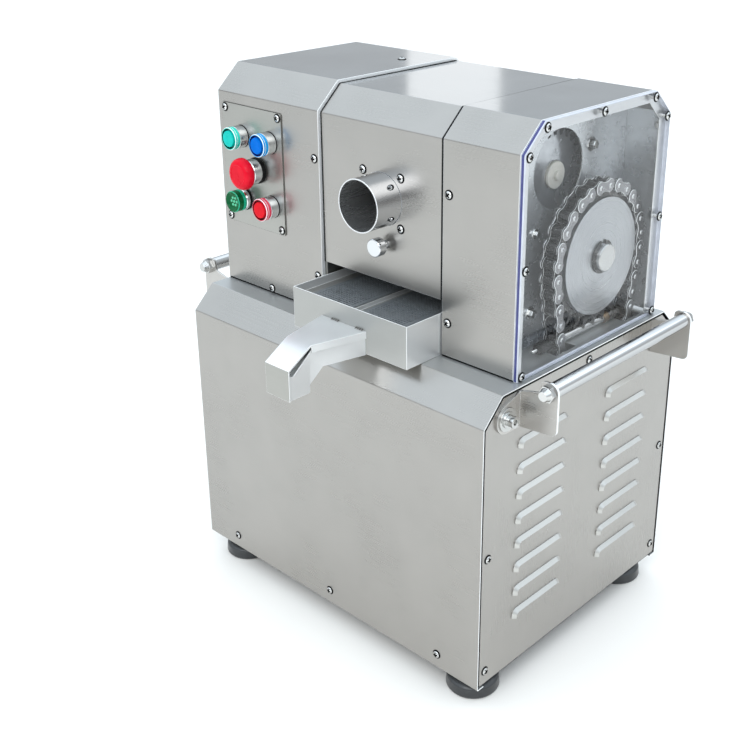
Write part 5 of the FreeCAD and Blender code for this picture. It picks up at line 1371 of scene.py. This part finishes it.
@dataclass
class BayFasteners(SubAssembly):
    """Hex bolts on washers inside the chain bay: some on the partition, some on the rear wall."""

    washer_d: float = 17.0
    washer_t: float = 1.6
    hex_d: float = 11.5
    hex_h: float = 6.0
    partition_face: float = 8.0
    sheet: float = 1.5
    on_partition: tuple[Triple, ...] = (
        (121.9, 627.2, 1.0), (19.0, 541.0, 0.7), (14.2, 444.6, 0.95))
    on_rear_wall: tuple[Triple, ...] = ((229.0, 644.7, 0.62), (229.0, 445.2, 0.62))

    def bolt(self, bm: Shape, place: Matrix, scale: float) -> None:
        """Add one bolt that looks along -Y, and put it in its place."""
        known = set(bm.verts)
        r, t = self.washer_d / 2 * scale, self.washer_t * scale
        turned(bm, (0.0, 0.0), [
            (0.0, 0.0), (r, 0.0), (r, -t * 0.7), (r - t * 0.3, -t), (0.0, -t)], 28)
        r, h = self.hex_d / 2 * scale, self.hex_h * scale
        turned(bm, (0.0, 0.0), [(0.0, -t * 0.9), (r, -t * 0.9), (r, -t - h * 0.85),
                                (r * 0.84, -t - h), (0.0, -t - h)], 6)
        bmesh.ops.transform(bm, matrix=place, verts=[v for v in bm.verts if v not in known])

    def build(self) -> None:
        """Set every bolt as one piece."""
        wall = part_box("partition_wall")[1].x - self.partition_face * MM
        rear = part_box("chain_housing")[1].y - self.sheet * MM
        bm = bmesh.new()
        for y, z, scale in self.on_partition:
            seat = Matrix.Translation((wall, y * MM, z * MM))
            self.bolt(bm, seat @ Matrix.Rotation(math.pi / 2, 4, "Z"), scale)
        for x, z, scale in self.on_rear_wall:
            self.bolt(bm, Matrix.Translation((x * MM, rear, z * MM)), scale)
        piece = self.closed(bm, "bay_bolts", ("nickel_screw",), 30.0)
        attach(piece, BODY_OF["partition_wall"])


@dataclass
class CaneFeed(SubAssembly):
    """Feed tube on its flange and the thumb screw under it."""

    bore_r: float = 31.5

    def build(self) -> None:
        """Dress the tube, satin inside, and the thumb screw."""
        axis = sum(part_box("feed_tube"), Vector()) / 2

        def inside(face: Face) -> int:
            reach = Vector((face.center.x - axis.x, face.center.z - axis.z))
            inward = reach.dot(Vector((face.normal.x, face.normal.z))) < 0 and abs(face.normal.y) < 0.3
            return int(inward and reach.length < self.bore_r * MM)

        # painted highlight on the tube's broken edges
        self.edged("feed_tube", ("polished_sheet", "tube_inside", "bright_edge"), 0.45, 50.0, 2, inside)
        self.edged("thumb_screw", ("chrome_plate",), 0.5)
        self.plain("nickel_screw", "thumb_nut")


@dataclass
class TrayAndSpout(SubAssembly):
    """Juice tray, spout and the spout's folded cover with its welded corners."""

    rim_z: float = 457.0
    bead_d: float = 3.4
    bead_share: Triple = (0.55, 1.2, 0.9)
    bead_step: float = 3.3
    beads: int = 4
    welds_at: Pair = (-14.0, 26.0)

    def welds(self) -> None:
        """Lay a short run of weld beads over each rear corner of the spout's cover."""
        low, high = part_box("spout_cover")
        tray_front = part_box("juice_tray")[0].y
        size = Vector(self.bead_share) * self.bead_d * MM
        bm = bmesh.new()
        for offset in self.welds_at:
            corner = (low.x + high.x) / 2 + offset * MM
            for i in range(self.beads):
                middle = Vector((corner + (i - (self.beads - 1) / 2) * self.bead_step * MM,
                                 tray_front - 1.0 * MM, high.z + 0.5 * MM))
                place = Matrix.Translation(middle) @ Matrix.Diagonal((*size, 1.0))
                bmesh.ops.create_icosphere(bm, subdivisions=2, radius=0.5, matrix=place)
        piece = self.closed(bm, "cover_welds", ("weld_bead",), 60.0)
        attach(piece, BODY_OF["spout_cover"])

    def build(self) -> None:
        """Dress the sheets and weld the cover."""
        # painted light: the rim's top faces take the edge highlight, and the faces looking along +X the pale
        # spout steel
        def rim_and_side(face: Face) -> int:
            top = face.normal.z > FACING and face.center.z > self.rim_z * MM
            return 1 if top else 2 if face.normal.x > FACING else 0

        self.edged("juice_tray", ("stainless_tray", "bright_edge", "stainless_spout"), 0.4, 34.0, 1,
                   rim_and_side)
        # painted light: faces not looking forward take the pale spout steel, the front faces plain plate
        # steel
        for node, edge in (("spout", 0.35), ("spout_cover", 0.5)):
            self.edged(node, ("stainless_spout", "bright_edge", "stainless_plate"), edge, 34.0, 1,
                       lambda face: 2 if face.normal.y < -FACING else 0)
        self.welds()


@dataclass
class ButtonStation(SubAssembly):
    """Push-button plate: chrome collars with a tinted band, caps, dark lens and the emergency stop."""

    collar_r: float = 14.5
    neck_r: float = 11.0
    bore_r: float = 5.3
    behind: float = 14.0
    cap_r: float = 10.4
    cap_face: float = 1.4
    cap_proud: float = 2.5
    stem_r: float = 5.0
    seat: float = 0.9
    barrel: float = 13.0
    ring: float = 0.6
    band: float = 4.4
    groove_r: float = 12.8
    groove: float = 3.4
    well: float = 12.0
    gasket: float = 2.4
    lens_collar: float = 7.9
    stop_gasket: float = 5.2
    stop_collar_r: float = 16.5
    stop_collar: float = 17.9
    lens_seat: float = 12.9
    lens_dots: int = 6
    dot_ring: float = 0.37

    def centre(self, node: str) -> tuple[Pair, float, float, float]:
        """Give a round node's axis in X and Z, its front, its back and its radius, in millimetres."""
        low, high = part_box(node)
        middle = ((low.x + high.x) / 2 / MM, (low.z + high.z) / 2 / MM)
        return middle, low.y / MM, high.y / MM, (high.x - low.x) / 2 / MM

    def cap(self, colour: ButtonColour) -> None:
        """Make a push-button's cap with its stem."""
        node = colour.label + "_button"
        centre, front, back, _ = self.centre(node)
        r, stem, face = self.cap_r, self.stem_r, front + self.cap_face
        bm = bmesh.new()
        turned(bm, centre, [
            (0.0, face + 0.5), (r * 0.6, face + 0.35), (r - 1.2, face), (r - 0.4, face + 0.3),
            (r, face + 1.0), (r, face + 9.0), (stem, face + 9.0), (stem, back), (0.0, back)])
        stands_for(self.closed(bm, node + "_cap", (colour.label + "_cap",)), node)

    def ringed(self, bm: Shape, centre: Pair, plate: float, steps: list[tuple[float, float, int]],
               chrome: int, black: int, segments: int) -> None:
        """Add a turned ring that is held by a neck in the button plate.

        Args:
            bm: Mesh that gets the ring.
            centre: The axis's place in X and Z, in millimetres.
            plate: Place of the plate's front along Y, in millimetres.
            steps: Radius, distance from the plate and finish of the profile in front of the plate.
            chrome: Number of the finish on the neck.
            black: Number of the finish on the gasket's back.
            segments: Number of steps round the axis.
        """
        neck, bore, behind = self.neck_r, self.bore_r, -self.behind
        profile = [(neck, behind, chrome), (neck, 0.0, black), *steps,
                   (bore, behind, chrome), (neck, behind, chrome)]
        turned(bm, centre, [(radius, plate - along, number) for radius, along, number in profile], segments)

    def collars(self) -> None:
        """Make all five collars as one piece: gasket, barrel, pale rings, tinted band and groove round the
        cap, the groove's dark colour painted shade and the rim's pale bevel a painted highlight.
        """
        names = ["chrome_plate", "clear_ring", "black_nylon"]
        chrome, clear, black = range(3)
        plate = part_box("button_plate")[0].y / MM
        bm = bmesh.new()
        for colour in ButtonColour:
            band, groove = len(names), len(names) + 1
            names += [colour.label + "_band", colour.label + "_groove"]
            centre, front, _, _ = self.centre(colour.label + "_button")
            out = plate - (front + self.cap_proud)
            r, seat, barrel, cap = self.collar_r, self.seat, self.barrel, self.cap_r + 0.3
            self.ringed(bm, centre, plate, [
                (r + 0.1, 0.0, black), (r + 0.1, seat, black), (r - 0.1, seat + 0.1, chrome),
                (r, seat + 0.3, chrome), (r, barrel - 0.5, chrome), (r - 0.8, barrel, clear),
                (r, barrel + 0.6, band), (r, barrel + self.band, clear),
                # the groove and the well take the dark colour as painted shade, the rim's outer bevel the
                # pale ring as painted highlight
                (r, barrel + self.band + self.ring, band), (r, out - 0.7, clear), (r - 0.7, out, band),
                (self.groove_r + 0.3, out, groove), (self.groove_r, out - 0.4, groove),
                (self.groove_r, out - self.groove, groove), (cap, out - self.groove, groove),
                (cap, out - self.well, groove), (self.bore_r, out - self.well, chrome)], chrome, black, 56)
        for node, r, split, out in (("pilot_lens", self.collar_r, self.gasket, self.lens_collar),
                                    ("stop_head", self.stop_collar_r, self.stop_gasket, self.stop_collar)):
            self.ringed(bm, self.centre(node)[0], plate, [
                (r + 0.4, 0.0, black), (r + 0.5, split * 0.5, black), (r + 0.3, split - 0.3, black),
                (r - 0.3, split, chrome), (r, split + 0.5, chrome), (r, out - 1.2, chrome),
                (r - 1.0, out, chrome), (self.bore_r, out, chrome)], chrome, black, 64)
        stands_for(self.closed(bm, "button_collars", names), "button_bezels")

    def stop(self) -> None:
        """Make the mushroom head of the emergency stop, hollow over its collar."""
        centre, front, back, r = self.centre("stop_head")
        hollow, stem = 17.2, self.stem_r + 0.05
        bm = bmesh.new()
        turned(bm, centre, [
            (0.0, front + 0.6), (r * 0.6, front + 0.6), (r * 0.63, front + 0.1), (r * 0.74, front + 0.3),
            (r * 0.83, front + 1.2), (r * 0.91, front + 2.8), (r * 0.965, front + 4.8),
            (r * 0.99, front + 7.0), (r, front + 9.2), (r - 0.3, front + 11.2), (r - 1.2, front + 12.6),
            (hollow + 0.6, front + 13.2), (hollow, front + 12.8), (hollow, back - 5.0),
            (stem, back - 5.0), (stem, back - 10.4), (0.0, back - 10.4)], 72)
        stands_for(self.closed(bm, "stop_head_mushroom", ("stop_red",)), "stop_head")

    def lens(self) -> None:
        """Make the pilot lens: a pale rim round a dark well with a ring of dots in it."""
        (x, z), front, back, r = self.centre("pilot_lens")
        rim, well, dot = range(3)
        seat, stem = front + self.lens_seat, self.stem_r
        bm = bmesh.new()
        turned(bm, (x, z), [
            (0.0, front + 3.4, well), (r * 0.5, front + 3.4, well), (r * 0.62, front + 2.8, well),
            (r * 0.8, front + 0.9, well), (r * 0.86, front + 0.1, well), (r - 0.9, front, rim),
            (r, front + 0.9, well), (r, front + 3.6, well), (r - 0.3, front + 3.9, well),
            (r - 0.3, front + 8.4, rim), (r, front + 8.8, rim), (r, seat, rim), (stem, seat, rim),
            (stem, back, rim), (0.0, back, rim)], 64)
        for i in range(self.lens_dots + 1):
            turn = 2 * math.pi * i / self.lens_dots
            reach = 0.0 if i == self.lens_dots else r * self.dot_ring
            turned(bm, (x + reach * math.cos(turn), z + reach * math.sin(turn)), [
                (0.0, front + 2.3, dot), (1.4, front + 2.6, dot), (1.9, front + 3.5, dot),
                (0.0, front + 3.5, dot)], 16)
        stands_for(self.closed(bm, "pilot_lens_well", ("lens_rim", "lens_green", "lens_dots")), "pilot_lens")

    def build(self) -> None:
        """Make caps, collars, lens and stop, and dress the plate and what is behind."""
        for colour in ButtonColour:
            self.cap(colour)
        self.collars()
        self.stop()
        self.lens()
        # painted shade: the plate's broken edges are black, a dark outline round it
        self.edged("button_plate", ("stainless_plate", "black_nylon"), 0.5, 34.0, 1)
        self.plain("black_nylon", "switch_gear", "stop_stem")


@dataclass
class Studio:
    """Pale floor, a soft sky and softboxes, and the camera."""

    floor_m: float = 14.0
    floor_hex: tuple[str, str] = ("#f5f1ec", "#f8f4ee")
    grain_mm: float = 400.0
    lens: float = 54.50
    sensor: float = 36.0
    shift: Pair = (-0.0511, -0.0976)
    eye: Triple = (0.9206, -0.9780, 0.9502)
    right: Triple = (0.73306, 0.68017, 0.0)
    up: Triple = (-0.25277, 0.27243, 0.92839)
    target: Triple = (0.0, 0.0, 0.6)
    cloudiness: float = 0.22
    sky_stops: tuple[tuple[float, Colour], ...] = (
        (0.0, (0.80, 0.81, 0.82, 1.0)), (0.15, (0.60, 0.63, 0.66, 1.0)), (0.34, (0.82, 0.89, 0.95, 1.0)),
        (0.55, (1.36, 1.52, 1.66, 1.0)), (0.8, (1.40, 1.56, 1.70, 1.0)), (1.0, (1.28, 1.42, 1.54, 1.0)))
    softboxes: tuple[tuple[str, Triple, Pair, float], ...] = (
        ("front_right", (0.95, -2.2, 2.3), (1.9, 1.9), 30.0),
        ("roof_card", (-1.79, 2.16, 1.28), (0.34, 0.5), 0.4),
        ("back_right", (1.5, 2.4, 2.4), (1.6, 1.2), 3.0))

    def sky(self) -> None:
        """Build the sky: dim near the horizon, bright and slightly cool higher up."""
        world = bpy.data.worlds.new("studio_sky")
        bpy.context.scene.world = world
        world.use_nodes = True
        graph = Graph(world.node_tree)
        look = graph.node("ShaderNodeTexCoord").outputs["Generated"]
        parts = graph.node("ShaderNodeSeparateXYZ", {0: look})
        shapes = graph.node("ShaderNodeTexNoise", {"Vector": look, "Scale": 3.0, "Detail": 3.0})
        centred = graph.math("SUBTRACT", shapes, 0.5)
        height = graph.math("MULTIPLY_ADD", centred, self.cloudiness, parts.outputs[2])
        ramp = graph.node("ShaderNodeValToRGB", {"Fac": height})
        stops = ramp.color_ramp.elements
        while len(stops) < len(self.sky_stops):
            stops.new(0.5)
        for stop, (place, colour) in zip(stops, self.sky_stops):
            stop.position = place
            stop.color = colour
        back = graph.node("ShaderNodeBackground", {"Color": ramp, "Strength": 1.0})
        graph.node("ShaderNodeOutputWorld", {"Surface": back})

    def floor(self) -> None:
        """Lay the floor."""
        ground = Surface("studio_floor")
        ground.mottle(ground.noise(self.grain_mm, 2.0), *(linear(code) for code in self.floor_hex))
        half = self.floor_m / 2
        mesh = bpy.data.meshes.new("floor")
        square = [(-half, -half, 0), (half, -half, 0), (half, half, 0), (-half, half, 0)]
        mesh.from_pydata(square, [], [(0, 1, 2, 3)])
        mesh.materials.append(ground.done({"Roughness": 0.8}))
        to_object("floor", mesh)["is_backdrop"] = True

    def lights(self) -> None:
        """Hang the softboxes, each facing the machine's middle."""
        for name, place, size, power in self.softboxes:
            data = bpy.data.lights.new(name, "AREA")
            data.shape = "RECTANGLE"
            data.size, data.size_y = size
            data.energy = power
            lamp = to_object(name, data)
            lamp.visible_camera = False
            lamp.location = place
            lamp.rotation_euler = (Vector(self.target) - Vector(place)).to_track_quat("-Z", "Y").to_euler()

    def camera(self) -> None:
        """Set the camera at the product view."""
        data = bpy.data.cameras.new("product_view")
        data.sensor_width = self.sensor
        data.lens = self.lens
        data.shift_x, data.shift_y = self.shift
        camera = to_object("product_view", data)
        right, up = Vector(self.right), Vector(self.up)
        turn = Matrix((right, up, right.cross(up))).transposed()
        camera.matrix_world = Matrix.Translation(self.eye) @ turn.to_4x4()
        bpy.context.scene.camera = camera
        bpy.context.scene.view_settings.view_transform = "Standard"

    def build(self) -> None:
        """Set up light, floor and camera."""
        self.sky()
        self.floor()
        self.lights()
        self.camera()


def main() -> None:
    """Build every sub-assembly in order."""
    logging.basicConfig(level=logging.INFO, format="%(message)s")
    Studio().build()
    finishes = Finishes()
    for part in (Cabinet, CarryingHandles, HeadCovers, RollerPress, ChainDrive, RollerChain, BayFasteners,
                 CaneFeed, TrayAndSpout, StrainerScreens, ButtonStation, PanScrews):
        part(finishes).build()
        LOG.info("built %s", part.__name__)
    for piece in sorted(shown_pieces(), key=lambda o: o.name):
        LOG.info("piece %s: %d faces", piece.name, len(piece.data.polygons))


if __name__ == "__main__":
    main()
